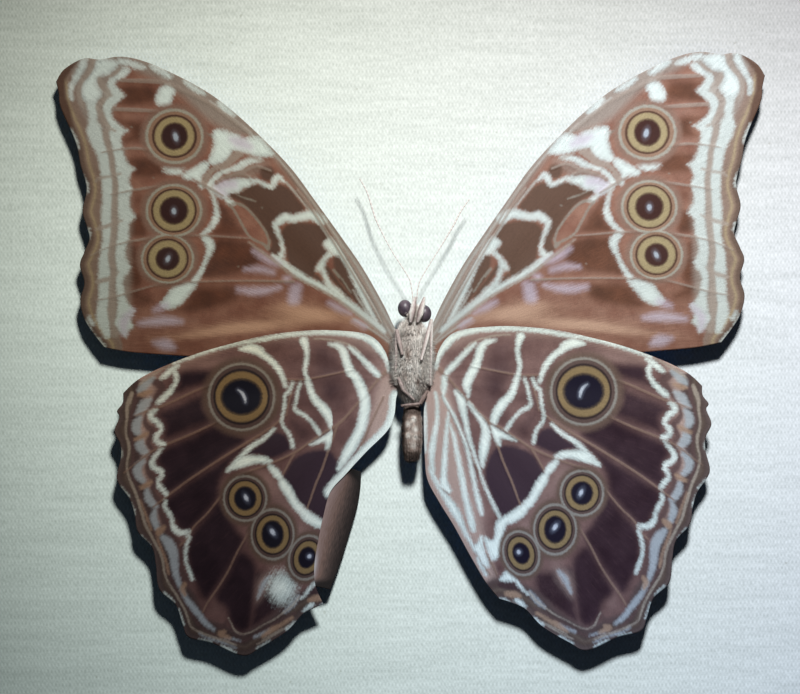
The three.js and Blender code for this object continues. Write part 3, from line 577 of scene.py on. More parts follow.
# %% Hindwing markings
HINDWING_MARKS = {
    "white": {"patches": [
        [(23.9, -16.8), (25.3, -16), (27.5, -15.8), (29, -16), (30.2, -17), (31.6, -18.4), (30.4, -18.1),
         (28.7, -17.7), (26.5, -17.1), (25, -17.2)],
        [(20.4, -24.3), (19.6, -25.4), (18.7, -26.8), (17, -27.9), (15.9, -28.3), (15.5, -29.3),
         (15.3, -30.5), (15.1, -32), (14.5, -33.5), (13.7, -34.3), (13, -33.4), (12.5, -32), (12.1, -30.3),
         (13.2, -30.9), (13.9, -30.2), (14.1, -28), (15.2, -27.1), (17, -25.9), (18.6, -24.8), (19.6, -23.8)],
        [(11.7, -30.2), (11.95, -32), (12.6, -34), (12.9, -35.3), (12, -35), (10.8, -33), (10.3, -31.9),
         (11, -31.3)],
        [(13.2, -11.6), (14.6, -12.4), (16, -13.3), (17.5, -14.2), (15.8, -13.9), (14.8, -13.8), (14.8, -15),
         (14.2, -14.6), (13.6, -13.2)],
        [(16.1, -35.7), (16.8, -36.6), (17.4, -37.6), (16, -37.8), (14.8, -37.5), (15.4, -36.5)],
    ], "lines": [
        [(3.9, -1.9, 0.6), (4.2, -0.5, 0.8), (4.9, 0.9, 1), (5.7, 2, 1.3), (6.6, 2.9, 1.2), (8.2, 3.75, 0.9),
         (11, 4.4, 0.8), (14.5, 4.65, 0.7), (18, 4.55, 0.65), (22, 4.2, 0.6), (26, 3.5, 0.55),
         (30, 2.85, 0.5), (34, 1.9, 0.45), (38, 0.55, 0.35), (40, -0.1, 0.3)],
        [(5.8, -2.8, 0.7), (6.4, -2.1, 0.9), (7.6, -0.9, 0.8), (8.6, 0.2, 0.7), (10, 1.6, 0.5),
         (10.6, 2.1, 0.3)],
        [(13.9, 2.7, 0.3), (12.3, 2.2, 0.9), (11.5, 1.2, 1.2), (11.2, 0, 1.2), (10.9, -1, 1.3),
         (10.3, -2.3, 1.35), (9.6, -3.6, 1.4), (9.2, -4.8, 1.3), (9.4, -6, 0.6), (9.4, -6.8, 0.3)],
        [(18.2, 3.3, 1.3), (17.9, 2.4, 0.9), (17.7, 1, 0.6), (17.9, -0.5, 0.6), (18.1, -1.6, 0.55),
         (17.8, -2.9, 0.5), (17.6, -3.7, 0.9), (17.2, -5, 0.9), (16.5, -6.6, 1.1), (15.2, -8, 1.4),
         (14.4, -9.2, 1.4), (13.8, -10.5, 1.2), (13.9, -11.3, 0.4)],
        [(28.9, 2.1, 0.3), (27.2, 2.2, 1.4), (25.8, 1.7, 1.4), (25, 1, 1), (23.7, 0, 0.9), (22.7, -1.2, 0.9),
         (22, -2.5, 0.7), (21.4, -4.2, 0.6)],
        [(18.9, -3.8, 0.35), (19.3, -5, 0.4), (19.7, -7, 0.4), (19.9, -8, 0.45), (19.3, -8.7, 0.6),
         (18.3, -9.2, 0.4), (17.2, -10.3, 0.4), (16.2, -11.7, 0.6), (15.8, -12.3, 0.4)],
        [(20.2, -3.8, 0.4), (20.8, -5.1, 0.45), (21.5, -5.8, 0.4), (21.6, -7, 0.4), (21.8, -8.5, 0.35),
         (22.1, -9.8, 0.3), (21.9, -11, 0.4), (21, -12.2, 0.4), (20.6, -13.2, 0.5), (20.4, -14.5, 0.4)],
        [(23.4, -11.4, 0.3), (25, -12.9, 0.5), (27, -14.1, 0.6), (28.6, -15.5, 0.7), (31.3, -18.2, 0.5)],
        [(24.3, -17.6, 0.7), (23.3, -18.7, 1.2), (22.7, -19.5, 0.9)],
        [(22.3, -20.2, 1), (21.9, -20.9, 1.5), (21.1, -22.2, 1.5), (20.2, -23.9, 1.3), (19.4, -24.8, 1.5)],
        [(3, -18.6, 0.3), (3.3, -19.6, 0.6), (4.2, -21.4, 0.7), (5, -22.8, 0.7), (6.1, -24.3, 1.1),
         (7.2, -26, 1.3), (8.2, -27.9, 0.9), (9, -29.8, 0.6), (10, -31.5, 0.5), (10.6, -32.6, 0.5)],
        [(3.9, -6.2, 0.3), (4.2, -8, 0.4), (4.2, -10.5, 0.5), (3.8, -13, 0.7), (3.4, -15.5, 0.9),
         (3.3, -17.5, 0.7), (3.6, -19.2, 0.4)],
        [(2.1, -8, 0.3), (2.2, -11, 0.4), (2.2, -16, 0.3)],
        [(6.1, -9.5, 0.3), (5.9, -11.5, 0.45), (5.7, -14, 0.6), (5.5, -17, 0.8), (5.3, -20, 1),
         (5.4, -21.5, 1.3), (6.2, -22.6, 0.7)],
        [(6.3, -11.5, 0.2), (7, -13.5, 0.45), (7.5, -16, 0.6), (8, -18.5, 0.7), (8.4, -20.8, 0.85),
         (8.9, -23.5, 0.85), (9.5, -25.8, 0.95), (10, -28, 1), (10.3, -29.2, 0.6)],
        [(5.2, -6.8, 0.3), (6, -8.2, 0.4), (7, -10, 0.35), (8, -12.2, 0.4), (9, -14.8, 0.45),
         (9.6, -17, 0.55), (10.1, -19.5, 0.6), (10.7, -22.5, 0.65), (11.3, -25, 0.8), (11.7, -26.5, 0.4)],
        [(5.4, -3.7, 0.8), (5.4, -5, 0.9), (5.3, -6.3, 0.4)],
        [(7.3, -5.9, 0.4), (8.2, -7.4, 1.2), (8.6, -9.2, 1), (9, -11, 0.75), (9.5, -13.5, 0.6),
         (10.1, -15.5, 0.45), (10.8, -17.5, 0.4), (11.4, -19.2, 0.3)],
        [(9.5, -7.9, 0.4), (10.4, -9.2, 0.55), (11.6, -10.8, 0.7), (12.3, -12.3, 1.2), (12.3, -14, 1.5),
         (12, -15.8, 1.4), (11.8, -17.4, 0.9), (11.8, -18.5, 0.4)],
        [(11.4, -19.5, 0.2), (12.2, -21.8, 0.3), (13, -23.6, 0.35), (13.8, -25.3, 0.45), (14.8, -27.2, 0.4)],
        [(12.4, -36.6, 0.35), (11.6, -35.2, 0.5), (11, -34, 0.35)],
        [(16.7, -36.4, 0.3), (17.5, -37.7, 0.35), (18.6, -39.2, 0.25), (19.4, -40, 0.2)],
        [(39.4, -0.5, 0.5), (40.5, -1.2, 0.8), (41.5, -2.1, 0.7), (42.2, -2.6, 0.4)],
        [(40.2, -1.2, 0.6), (39.7, -2.2, 0.7), (39.8, -3.3, 0.6), (40.4, -4.3, 0.65), (41.4, -5.5, 0.85),
         (42.4, -6.3, 0.8), (43, -6.7, 0.3)],
        [(43.2, -7.9, 0.4), (44, -8.5, 0.8), (44, -9.2, 0.8), (43, -10, 0.8), (42.4, -10.9, 0.7),
         (42.6, -11.6, 0.55), (43.2, -12.3, 0.8), (43.2, -13.1, 0.8), (42.4, -13.5, 0.8), (41.8, -13.7, 0.3)],
        [(42.3, -14.3, 0.3), (43.2, -15.3, 0.5), (43.9, -16.3, 0.7), (44, -17.1, 0.8), (43.4, -17.8, 0.8),
         (42.6, -18.2, 0.85), (42.5, -19, 0.6), (43, -19.7, 0.45), (43, -20.5, 0.6), (42.4, -21.2, 0.8),
         (41.8, -22, 0.6)],
        [(41.9, -23.2, 0.4), (42, -24.2, 0.5), (41.4, -25.2, 0.7), (40.9, -26.3, 0.6), (40.7, -27.4, 0.7),
         (40, -28.4, 0.9), (38.8, -28.6, 0.8), (38, -28.4, 0.4)],
        [(38, -29.3, 0.4), (38.4, -30.5, 0.4), (38.7, -32, 0.45), (38.6, -33.5, 0.45), (38, -35.2, 0.5),
         (37.6, -36.4, 0.4)],
        [(49.4, -20.8, 0.2), (48.8, -21.6, 0.35), (48.1, -22.35, 0.25)],
        [(47.8, -23.5, 0.2), (47.4, -24.5, 0.35), (47.2, -25.3, 0.2)],
        [(46.2, -29, 0.2), (45.5, -29.9, 0.35), (44.8, -30.6, 0.2)],
        [(42.4, -38.7, 0.2), (41.6, -39.5, 0.4), (40.85, -40.15, 0.2)],
        [(40.1, -41.6, 0.3), (39.8, -42.6, 0.35), (39.3, -44, 0.2)],
        [(36.7, -46.75, 0.3), (35.6, -47, 0.5), (34.7, -47.1, 0.25)],
        [(33, -47.8, 0.2), (31.9, -48.3, 0.45), (30.7, -49, 0.3)],
        [(26.9, -48.3, 0.2), (25.9, -47.8, 0.4), (24.8, -47.1, 0.25)],
        [(21.9, -45.1, 0.3), (20.4, -44.1, 0.4)],
        [(19, -42.1, 0.3), (18.2, -41.4, 0.6), (17.5, -41, 0.4)],
        [(16.35, -41.5, 0.3), (15.6, -41.1, 0.6), (14.8, -40.9, 0.4)],
        [(49.3, -14.6, 0.3), (49.3, -15.6, 0.3)],
    ]},
    "band": {"lines": [
        [(44, -2.9, 0.8), (42.6, -3.6, 1.4), (42.2, -4.4, 1), (43.2, -5.8, 0.8), (44, -7.1, 0.6),
         (44.8, -8.4, 0.4)],
        [(44.9, -8.7, 0.4), (45.1, -9.8, 0.8), (44.6, -10.7, 1), (43.9, -11.4, 1), (44.2, -12.4, 0.8),
         (44.6, -13.5, 0.9), (44, -14.4, 0.6), (43.6, -14.9, 0.3)],
        [(43.9, -15, 0.3), (44.5, -16.2, 0.6), (44.8, -17.3, 0.8), (44.6, -18.4, 0.9), (43.9, -19.3, 1),
         (43.8, -20.4, 0.8), (44, -21.6, 0.8), (43.4, -22.7, 0.9), (42.6, -23.2, 0.5)],
        [(42.6, -23.4, 0.4), (42.9, -24.5, 0.8), (42.5, -25.8, 0.8), (42, -27, 0.9), (41.5, -28.2, 1),
         (40.8, -29.4, 1.1), (39.9, -30.2, 0.9)],
        [(39.2, -31, 0.6), (39.5, -32.5, 0.8), (39.4, -34.5, 0.8), (38.9, -36, 0.8), (38.3, -37, 0.4)],
        [(46.2, -3.6, 0.5), (46.6, -5.5, 0.6), (46.9, -7.2, 0.6), (47.3, -8.8, 0.5), (47.5, -10.6, 0.5),
         (47.2, -14, 0.5), (47.2, -16, 0.5), (47.6, -18, 0.5), (46.9, -20.2, 0.5), (45.5, -24, 0.5),
         (44.2, -27.8, 0.5), (42.6, -31.4, 0.5), (41.5, -35.6, 0.5), (39.4, -39.6, 0.45), (37.2, -43.4, 0.45),
         (35.6, -45, 0.45), (33.6, -46.2, 0.4), (31, -47, 0.4), (28.6, -46.7, 0.4), (25.4, -45.1, 0.4),
         (22.8, -43.6, 0.4), (20.6, -42.4, 0.4)],
        [(32, -43.6, 0.3), (32.6, -44.5, 0.9), (33.6, -44.3, 0.5)],
    ]},
    "dark": {"patches": [
        [(15, -15.2), (17, -15.2), (20, -16.4), (21.6, -18.6), (22, -20), (20.6, -22.2), (19.4, -23.8),
         (18, -25), (15.2, -26.8), (13.8, -24.5), (12.4, -21), (12.4, -18.5), (13.6, -16)],
        [(22.4, -12.2), (23.6, -12.2), (26, -14.2), (28, -15.4), (26, -15.6), (24, -16.3), (21.6, -15.4),
         (20.8, -14.6), (21.4, -12.8)],
    ]},
    "brown": {"lines": [
        [(14.8, -38.4, 0.8), (16.5, -38.6, 1.2), (18.2, -39, 0.6)],
    ]},
    "cream": {"lines": [
        [(47.2, -5, 0.6), (47.7, -6.3, 0.8), (48.1, -7.5, 0.6), (48.1, -9, 0.45), (48.3, -10.5, 0.35),
         (48.3, -12, 0.35), (47.9, -13.5, 0.5), (47.9, -15, 0.4), (48.3, -17, 0.3), (48, -19, 0.4),
         (47.4, -20.5, 0.5), (46.8, -22, 0.5), (46.3, -23.8, 0.5), (45.8, -25.4, 0.5), (45.4, -27, 0.45),
         (44.6, -28.6, 0.45), (43.8, -30.2, 0.45), (43, -31.8, 0.45), (42.5, -33.5, 0.4), (42.3, -35.2, 0.35),
         (41.6, -37, 0.35), (40.6, -38.6, 0.4), (39.8, -40, 0.4), (39, -41.5, 0.4), (38.5, -43, 0.35),
         (37.9, -44.5, 0.3), (36, -45.6, 0.35), (34.4, -46.2, 0.4), (32, -47, 0.4), (30.5, -47.6, 0.3)],
        [(27, -47.5, 0.25), (25.5, -46.8, 0.25), (23.5, -45.7, 0.3), (22, -44.8, 0.3)],
        [(8.8, 1.2, 0.3), (10, 2.2, 0.3), (12, 3, 0.3), (14.5, 3.5, 0.3), (16.5, 3.6, 0.25)],
        [(40, -0.1, 0.35), (42, -1.1, 0.3), (44, -2.3, 0.35), (46, -3.6, 0.3)],
        [(20.4, -43.9, 0.2), (23, -45.2, 0.25), (26, -46.7, 0.2)],
        [(31.7, -43, 0.2), (31.2, -44, 0.25), (30.6, -45.2, 0.35), (29.4, -45.8, 0.25), (27.8, -45.4, 0.2),
         (26, -44.4, 0.2), (24, -43.4, 0.25), (22.3, -42.2, 0.3), (20.8, -41, 0.4), (20, -40, 0.4),
         (19.6, -39.5, 0.2)],
    ]},
    "vein": {"lines": [
        [(4.5, -2.2, 0.7), (5.5, -3.1, 0.5), (7.2, -5, 0.45), (9, -7, 0.45), (11, -9.2, 0.45),
         (12.8, -10.9, 0.5), (15, -12.1, 0.4), (18, -14.1, 0.4), (20, -15.4, 0.4), (24, -17.2, 0.35),
         (28, -18.6, 0.35), (30, -19.6, 0.35), (32.5, -22.5, 0.35), (35, -25.5, 0.35), (37.2, -27.6, 0.35),
         (38.4, -29.6, 0.35), (39.6, -30.7, 0.3)],
        [(12.8, -11, 0.4), (14.2, -14.6, 0.4), (15.4, -18, 0.4), (16.7, -21, 0.4), (17.8, -24, 0.35),
         (18.6, -26, 0.3)],
        [(20, -15.4, 0.4), (21.4, -17.8, 0.35), (22.5, -19.8, 0.3)],
        [(28.2, -29, 0.3), (30, -32, 0.35), (31.5, -35, 0.35), (33.4, -38, 0.35), (35, -40.2, 0.35),
         (36, -42, 0.3)],
        [(10, -1.7, 0.25), (14, -2.5, 0.3), (18, -3.2, 0.3), (21.5, -3.2, 0.3)],
        [(33.6, -3.9, 0.3), (36, -4.6, 0.4), (39, -5.9, 0.4), (42, -7.2, 0.4), (45, -8.2, 0.4),
         (46.8, -8.8, 0.3)],
        [(32.8, -10, 0.3), (37, -11.9, 0.4), (42, -13.9, 0.4), (44.6, -15.2, 0.35), (47, -17, 0.3),
         (48.8, -18.4, 0.25)],
        [(21.8, -9.4, 0.3), (24, -11.2, 0.45), (28, -13.6, 0.45), (33, -16.6, 0.4), (38, -19.8, 0.4),
         (42, -22.7, 0.35), (44, -24.2, 0.3)],
        [(5, -6.4, 0.4), (6.4, -9.2, 0.35), (8.3, -13.2, 0.35), (10, -17, 0.35), (11.4, -19.8, 0.35),
         (12.8, -23.2, 0.3), (14.2, -26.2, 0.25)],
        [(3.4, -19.6, 0.2), (4.6, -21.8, 0.3), (6.2, -23, 0.25)],
        [(10.7, -32.6, 0.3), (11.8, -34.8, 0.35), (13, -36.6, 0.3)],
        [(17.6, -5.9, 0.2), (16.8, -7.4, 0.25)],
        [(20.3, -5.2, 0.3), (20.9, -7, 0.35), (21.3, -9.2, 0.3)],
        [(12.4, -33, 0.3), (13.4, -34.8, 0.4), (14.2, -36.6, 0.3)],
    ]},
    "blue": {"lines": [
        [(43.6, -2.5, 0.7), (45, -3.7, 1.4), (45.9, -4.6, 1)],
        [(44.1, -6, 0.6), (45.2, -7, 1.6), (46.1, -8.2, 1), (46.7, -8.7, 0.3)],
        [(45.9, -9.1, 0.8), (46.5, -10.2, 1.5), (46.5, -11.3, 1.4), (46, -12, 0.6)],
        [(45.8, -12.8, 0.9), (46, -13.8, 1.6), (45.4, -14.7, 1.4), (44.7, -15.1, 0.5)],
        [(45.5, -16.3, 0.8), (46.4, -17.5, 1.4), (46.4, -18.7, 1.4), (45.6, -19.8, 0.9)],
        [(45, -21.2, 0.7), (44.8, -22.4, 1.3), (44.3, -23.4, 1.3), (43.5, -24.1, 0.9)],
        [(43.7, -24.8, 0.8), (43.9, -26.1, 1.2), (43.4, -27.6, 1)],
        [(42.6, -29.1, 0.8), (41.6, -30.2, 1.7), (40.9, -31.5, 1.7), (40.6, -33, 1.5), (40.5, -34.8, 1.2),
         (40.1, -36.4, 1), (39.5, -38, 0.7), (38.6, -39.8, 0.9), (37.5, -41.3, 1.1), (36.4, -42.7, 1),
         (35.5, -43.9, 0.9), (34.2, -44.9, 0.6)],
        [(27.4, -46.3, 0.3), (26, -45.8, 0.5), (24.8, -45.2, 0.4)],
        [(24.6, -36.1, 0.5), (25.5, -37.2, 0.95), (26.2, -38.6, 0.7), (26.7, -39.8, 0.3)],
        [(19.8, -39.6, 0.5), (20.8, -40.9, 0.8), (22.2, -42.2, 0.5)],
        [(29.8, -46.9, 0.25), (31, -46.6, 0.35), (32.4, -46.3, 0.25)],
        [(30.6, -48, 0.2), (33, -47, 0.35), (35.6, -46.2, 0.35), (36.6, -45.5, 0.2)],
    ]},
    "orange": {"lines": [
        [(44, -4.8, 0.5), (45.3, -5.2, 0.9), (46, -5.3, 0.5)],
        [(44.8, -11.9, 0.6), (45.8, -12.4, 0.8), (46.7, -12.8, 0.6)],
        [(44.3, -20, 0.6), (45.2, -20.6, 0.8), (46, -20.9, 0.6)],
        [(42.2, -27.6, 0.6), (43, -28.3, 1.2), (43.2, -28.9, 0.6)],
        [(38.9, -37.2, 0.7), (39.3, -38, 0.9), (38.9, -39, 0.5)],
        [(32.4, -45.3, 0.6), (33, -45.7, 1), (31.5, -46.4, 0.5)],
        [(21, -43.2, 0.5), (23, -44.4, 0.6), (24.5, -45.2, 0.9), (26, -46.2, 0.5)],
        [(15.9, -39.9, 0.8), (17, -40, 1.1), (18, -40.3, 0.7)],
        [(43.4, -29.4, 0.3), (42.8, -31.2, 0.35), (42, -33.4, 0.35), (41.6, -35.4, 0.35)],
        [(46.2, -23, 0.3), (45.2, -25.6, 0.35), (44.4, -28, 0.35)],
    ]},
}
HINDWING_GLOOM = [
    (0.9, [(34, -1.5), (38.5, -1.4), (39.5, -2.6), (39.5, -3.8), (40.8, -5.2), (38, -4.5), (34.2, -3.2)]),
    (0.75, [(34.8, -5.2), (38.5, -6.4), (42.4, -7.9), (43.1, -9.2), (42, -10.4), (42.2, -12), (41.6, -13.2),
     (37, -11.3), (33.6, -9.8), (34.8, -7.5)]),
    (1, [(29.4, -12.4), (33, -10.8), (37, -12.6), (41.8, -14.5), (43.1, -16.4), (42.2, -17.8), (42, -19),
     (42.4, -20.4), (41.2, -21.6), (37, -18.8), (32, -15.6), (28.6, -13.4)]),
    (1, [(29, -14.6), (32.5, -16.9), (37, -19.9), (41.4, -22.8), (41.4, -24.8), (40.3, -26.6), (39.8, -27.9),
     (38, -28.2), (35.4, -25.2), (33.2, -22.6), (32.8, -20.5), (31.8, -18.4), (31, -17)]),
    (1, [(30.4, -28), (32.6, -23.8), (35, -26.3), (37.4, -28.8), (38.2, -31.5), (38.1, -34), (37, -37),
     (35.4, -39.8), (33.4, -37.2), (31.4, -34), (29, -30.2)]),
    (1, [(27.2, -34), (29.6, -32.2), (31.6, -36), (33.8, -39.4), (32, -41.5), (31.4, -43.6), (30.2, -45.1),
     (28.4, -44.8), (27.6, -41), (27, -37)]),
    (0.35, [(12.3, 2), (16.9, 2.9), (17.2, 0), (17.3, -2.6), (16.5, -5), (14.6, -7.6), (13, -9.8), (11, -7.6),
     (10, -5.5), (11, -2.6), (11.9, 0)]),
    (0.2, [(18.8, 2.8), (25.2, 3), (24.4, 0.9), (22, -1), (21, -3), (18.6, -2.8), (18.2, 0)]),
    (0.35, [(17.8, -4.4), (18.8, -4.4), (19.5, -7.5), (17.6, -9), (15.4, -11.6), (14.4, -10.8), (15.8, -8),
     (17.2, -6.2)]),
    (0.45, [(20.1, -6), (21, -7), (21.5, -10.6), (20.3, -12.8), (20, -14.8), (16.8, -12.8), (18.6, -10),
     (20, -9)]),
    (0.45, [(22.4, -14), (24, -8.8), (24.5, -4), (25, -1), (22.6, -2), (21.6, -5), (22.2, -9)]),
    (0.75, [(20.5, -36.4), (23, -35.8), (27.4, -35.2), (27.6, -40), (28, -45), (23.6, -42.6), (20.8, -40)]),
    (0.6, [(14.4, -35), (15.5, -35.3), (14.6, -36.6), (13.8, -36.2)]),
    (0.5, [(43.5, -1.8), (46, -3.2), (48, -4.8), (47.6, -9), (49, -11), (48, -14), (49, -18.5), (47, -22),
     (46, -26), (44, -30), (42.6, -34), (42.4, -38), (39.6, -42), (38.5, -45.5), (34, -46.8), (29, -48.6),
     (24, -46.4), (20, -42.8), (24, -44), (28, -46.2), (31, -45.8), (34, -44), (36.5, -41), (38.6, -36),
     (39.6, -31), (42.5, -25), (44, -21), (45, -17), (44.6, -11), (43.6, -6)]),
]
HINDWING_HAZE = [
    (0.9, [(0.5, -2), (5, -3), (7, -9), (9, -18), (11, -26), (13, -33), (14.5, -40), (9, -36), (4, -27),
     (1, -19), (0.5, -10)]),
    (0.75, [(41.5, 2), (42.6, -3), (43.6, -8), (44.2, -14), (44.4, -20), (42.6, -26), (41, -32), (40, -37),
     (38, -42), (35, -44.5), (29.5, -46.6), (24, -44.3), (20, -41.8), (15, -39), (15, -44), (30, -53),
     (52, -40), (54, -3)]),
    (0.65, [(23.9, -35.2), (26.4, -36), (27.3, -38.6), (26.9, -40.8), (25.2, -39.2), (23.9, -37.2)]),
    (0.5, [(4, 1), (8, 4.6), (17, 5.6), (28, 4.2), (40, 0.6), (39, -1.5), (30, 1.5), (20, 2.8), (12, 2.6),
     (7, 0.5)]),
]
HINDWING_EYES = [
    ((28.8, -5.95), [(3.6, 3.15), (4.4, 4.3), (5.1, 5.2), (5.7, 5.75)], 0),
    ((28.5, -23), [(1.95, 2.1), (2.75, 2.95), (3.25, 3.4), (3.75, 3.95)], 0),
    ((24, -29.1), [(1.95, 2.45), (2.75, 3.2), (3.25, 3.8), (3.7, 4.4)], 0),
    ((18.3, -33.1), [(1.5, 1.95), (2.15, 2.85), (2.65, 3.4), (3.15, 3.95)], 18),
]
HINDWING_PUPILS = {
    "ovals": [(28.35, -22.9, 0.32, 0.6, -25), (24, -28.7, 0.36, 0.65, -35), (17.9, -32.9, 0.35, 0.35, 0)],
    "lines": [[(28.15, -6.9, 0.25), (28.3, -6.1, 0.5), (28.7, -5.3, 0.45), (29.4, -4.75, 0.2)]],
}
HINDWING_SHADE = [
    (37.5, -2.9, 2, 0.9, 0.8), (37.5, -9.6, 5, 2.4, 0.45), (38, -16.2, 6, 3, 1, -30),
    (37, -23.5, 4.5, 3.2, 1, -35), (33.6, -32, 3.8, 7.5, 1, 20), (29.2, -39.5, 2.6, 6.5, 1, 5),
    (14.5, -2, 2.8, 5.5, 0.55, -15), (14, -6, 2, 2.6, 0.4), (22, -0.5, 3, 2.4, 0.1),
    (18.5, -12.2, 2, 1.8, 0.35), (19, -6, 1.2, 2.2, 0.35), (6, -14, 3, 11, -0.75, 8),
    (10, -25, 2.4, 6, -0.6, 20), (4, -2, 3, 4, -0.3), (26, -1, 5, 1.4, -0.3), (34, -0.4, 5, 1, -0.4, -15),
    (23.5, -7, 1.2, 4, -0.4), (26, -20, 3, 3, -0.45), (22, -24, 2, 4, -0.4, -35), (19, -29, 2, 2, -0.4),
    (24, -34, 2, 2, -0.3), (24, -40, 3.2, 3.6, -0.35), (31, -22, 2.2, 2, -0.2), (33.5, -41, 2, 2.5, -0.45),
    (44, -20, 1.4, 18, -0.1, -12), (29, -28, 1.6, 2.4, -0.3),
]
HINDWING_WARM = [(4.6, -3, 1.5, 1.5, 0.5), (20, -3.2, 2.5, 0.7, 0.2), (46, -12, 2.5, 8, 0.2)]
print(len(HINDWING_MARKS), "kinds of mark and", len(HINDWING_EYES), "eyespots on the hindwing")

# %% [markdown]
# Every point of a wing needs to know how deep it lies in each kind of marking. That is a signed distance
# in millimetres, positive inside, found for all points of the wing at once; the material then draws a
# sharp or soft edge where it passes through zero.

# %% Depth in a marking
FAR = -9.0
NO_RING = 9.0
MARK_STEPS = 6
LINE_REACH, PATCH_REACH = 1.5, 2.5
SOFT_EDGE = 1.3
EDGE_STEPS = 160
RAY_TURN, RAY_STEP = 150, 3


def smooth(points, closed):
    """The spline through the points, closed or open, with MARK_STEPS points a span."""
    p = np.asarray(points, float)
    if len(p) < 3:
        return p
    if closed:
        return spans(np.vstack([p[-1], p, p[:2]]), MARK_STEPS)
    return np.vstack([spans(np.vstack([2 * p[0] - p[1], p, 2 * p[-1] - p[-2]]), MARK_STEPS), p[-1]])


def to_segments(at, a, b):
    """Distance of each point from each segment a-b, and the share along it of the nearest place."""
    ab = b - a
    apart = at[:, None] - a[None]
    share = np.clip((apart * ab).sum(-1) / np.maximum((ab**2).sum(-1), 1e-12), 0, 1)
    return np.linalg.norm(apart - share[..., None] * ab, axis=-1), share


def close_by(at, line, reach):
    """The numbers of the points inside a line's box widened by reach on all sides."""
    inside = (at > line.min(0) - reach).all(1) & (at < line.max(0) + reach).all(1)
    return np.flatnonzero(inside)


def line_depth(at, points):
    """Half the line's width at its nearest place, less the distance to it."""
    line = smooth(points, False)
    depth = np.full(len(at), FAR)
    k = close_by(at, line[:, :2], LINE_REACH + line[:, 2].max())
    if len(k):
        apart, share = to_segments(at[k], line[:-1, :2], line[1:, :2])
        depth[k] = (0.5 * (line[:-1, 2] + share * np.diff(line[:, 2])) - apart).max(1)
    return depth


def patch_depth(at, points, toothed=False):
    """Distance to the outline, positive where a line to the right crosses it an odd number of times."""
    a = np.asarray(points, float) if toothed else smooth(points, True)
    b = np.roll(a, -1, 0)
    depth = np.full(len(at), FAR)
    k = close_by(at, a, PATCH_REACH)
    if len(k):
        apart, _ = to_segments(at[k], a, b)
        x, y = at[k, :1], at[k, 1:]
        rise = np.where(b[:, 1] == a[:, 1], 1e-9, b[:, 1] - a[:, 1])
        at_y = a[:, 0] + (b[:, 0] - a[:, 0]) * (y - a[:, 1]) / rise
        crossed = ((a[:, 1] > y) != (b[:, 1] > y)) & (x < at_y)
        depth[k] = np.where(crossed.sum(1) % 2 == 1, 1, -1) * apart.min(1)
    return depth


def oval_share(at, centre, across, up, tilt):
    """Distance from an oval's centre as a share of its half-axes."""
    angle = np.radians(tilt)
    x, y = (at - centre).T
    u = x * np.cos(angle) + y * np.sin(angle)
    v = y * np.cos(angle) - x * np.sin(angle)
    return np.hypot(u / across, v / up)


def depth_in(at, group):
    """The greatest depth in any mark of a group."""
    depths = [line_depth(at, line) for line in group.get("lines", [])]
    depths += [patch_depth(at, outline) for outline in group.get("patches", [])]
    depths += [patch_depth(at, outline, True) for outline in group.get("toothed", [])]
    depths += [(1 - oval_share(at, (x, y), a, b, t)) * min(a, b) for x, y, a, b, t in group.get("ovals", [])]
    return np.max(depths, 0)


def soft_sum(at, spots):
    """Sum of round, soft-edged spots."""
    total = np.zeros(len(at))
    for x, y, across, up, amount, *tilt in spots:
        total += amount * np.exp(-oval_share(at, (x, y), across, up, sum(tilt)) ** 2)
    return total


def gloom_at(at, patches):
    """The strongest of several soft-edged patches, from 0 to 1."""
    depths = [(amount, patch_depth(at, outline)) for amount, outline in patches]
    share = np.max([amount * np.clip(0.5 + depth / (2 * SOFT_EDGE), 0, 1) for amount, depth in depths], 0)
    return share * share * (3 - 2 * share)


def ring_number(at, eyes):
    """0 at an eyespot's centre, 1, 2, 3 and 4 at the edges of its rings, and evenly in between."""
    best = np.full(len(at), NO_RING)
    for centre, axes, tilt in eyes:
        share = np.stack([oval_share(at, centre, a, b, tilt) for a, b in axes])
        between = (share[:-1] - 1) / np.maximum(share[:-1] - share[1:], 1e-6)
        number = share[0]
        for k in range(len(axes) - 1):
            number = np.where(share[k] > 1, k + 1 + between[k], number)
        number = np.where(share[-1] > 1, len(axes) + 4 * (share[-1] - 1), number)
        best = np.minimum(best, number)
    return best


def markings(at, marks, gloom, haze, eyes, pupils, shade, warm, root, margin):
    """All of a wing's attributes at points in the right-hand wing's coordinates. ray counts across and
    along the lines that spread from the root, for the streaks of scales."""
    values = {key: depth_in(at, group) for key, group in marks.items()}
    values["gloom"] = gloom_at(at, gloom)
    values["haze"] = gloom_at(at, haze)
    values["ring"] = ring_number(at, eyes)
    values["pupil"] = depth_in(at, pupils)
    values["shade"] = soft_sum(at, shade)
    values["warm"] = soft_sum(at, warm)
    edge = curve(margin, np.linspace(0, 1, EDGE_STEPS))
    values["edge"] = to_segments(at, edge[:-1], edge[1:])[0].min(1)
    away = at - root
    distance = np.hypot(*away.T)
    turn = np.arctan2(away[:, 1], away[:, 0])
    values["ray"] = np.column_stack([turn * RAY_TURN, distance / RAY_STEP, 0 * distance])
    return values


# %% [markdown]
# A wing is a skin stretched between costa and inner margin: straight lines join the two, and the outer
# margin's scallops fade out towards the root. It hangs a little with distance from the root, the veins
# stand up by less than a tenth of a millimetre and the skin between them waves slightly.

# %% Wing surfaces
WING_THICK = 0.2
VEIN_RISE = 0.08
WAVE_RISE, WAVES_PER_RADIAN = 0.06, 23
MAP_SPAN, MAP_EDGE = 0.48, 0.01


def hang(away):
    """How far a wing has sunk at a distance from its root: 0.9 mm at 70 mm, going with its square."""
    return 0.9 * (away / 70) ** 2



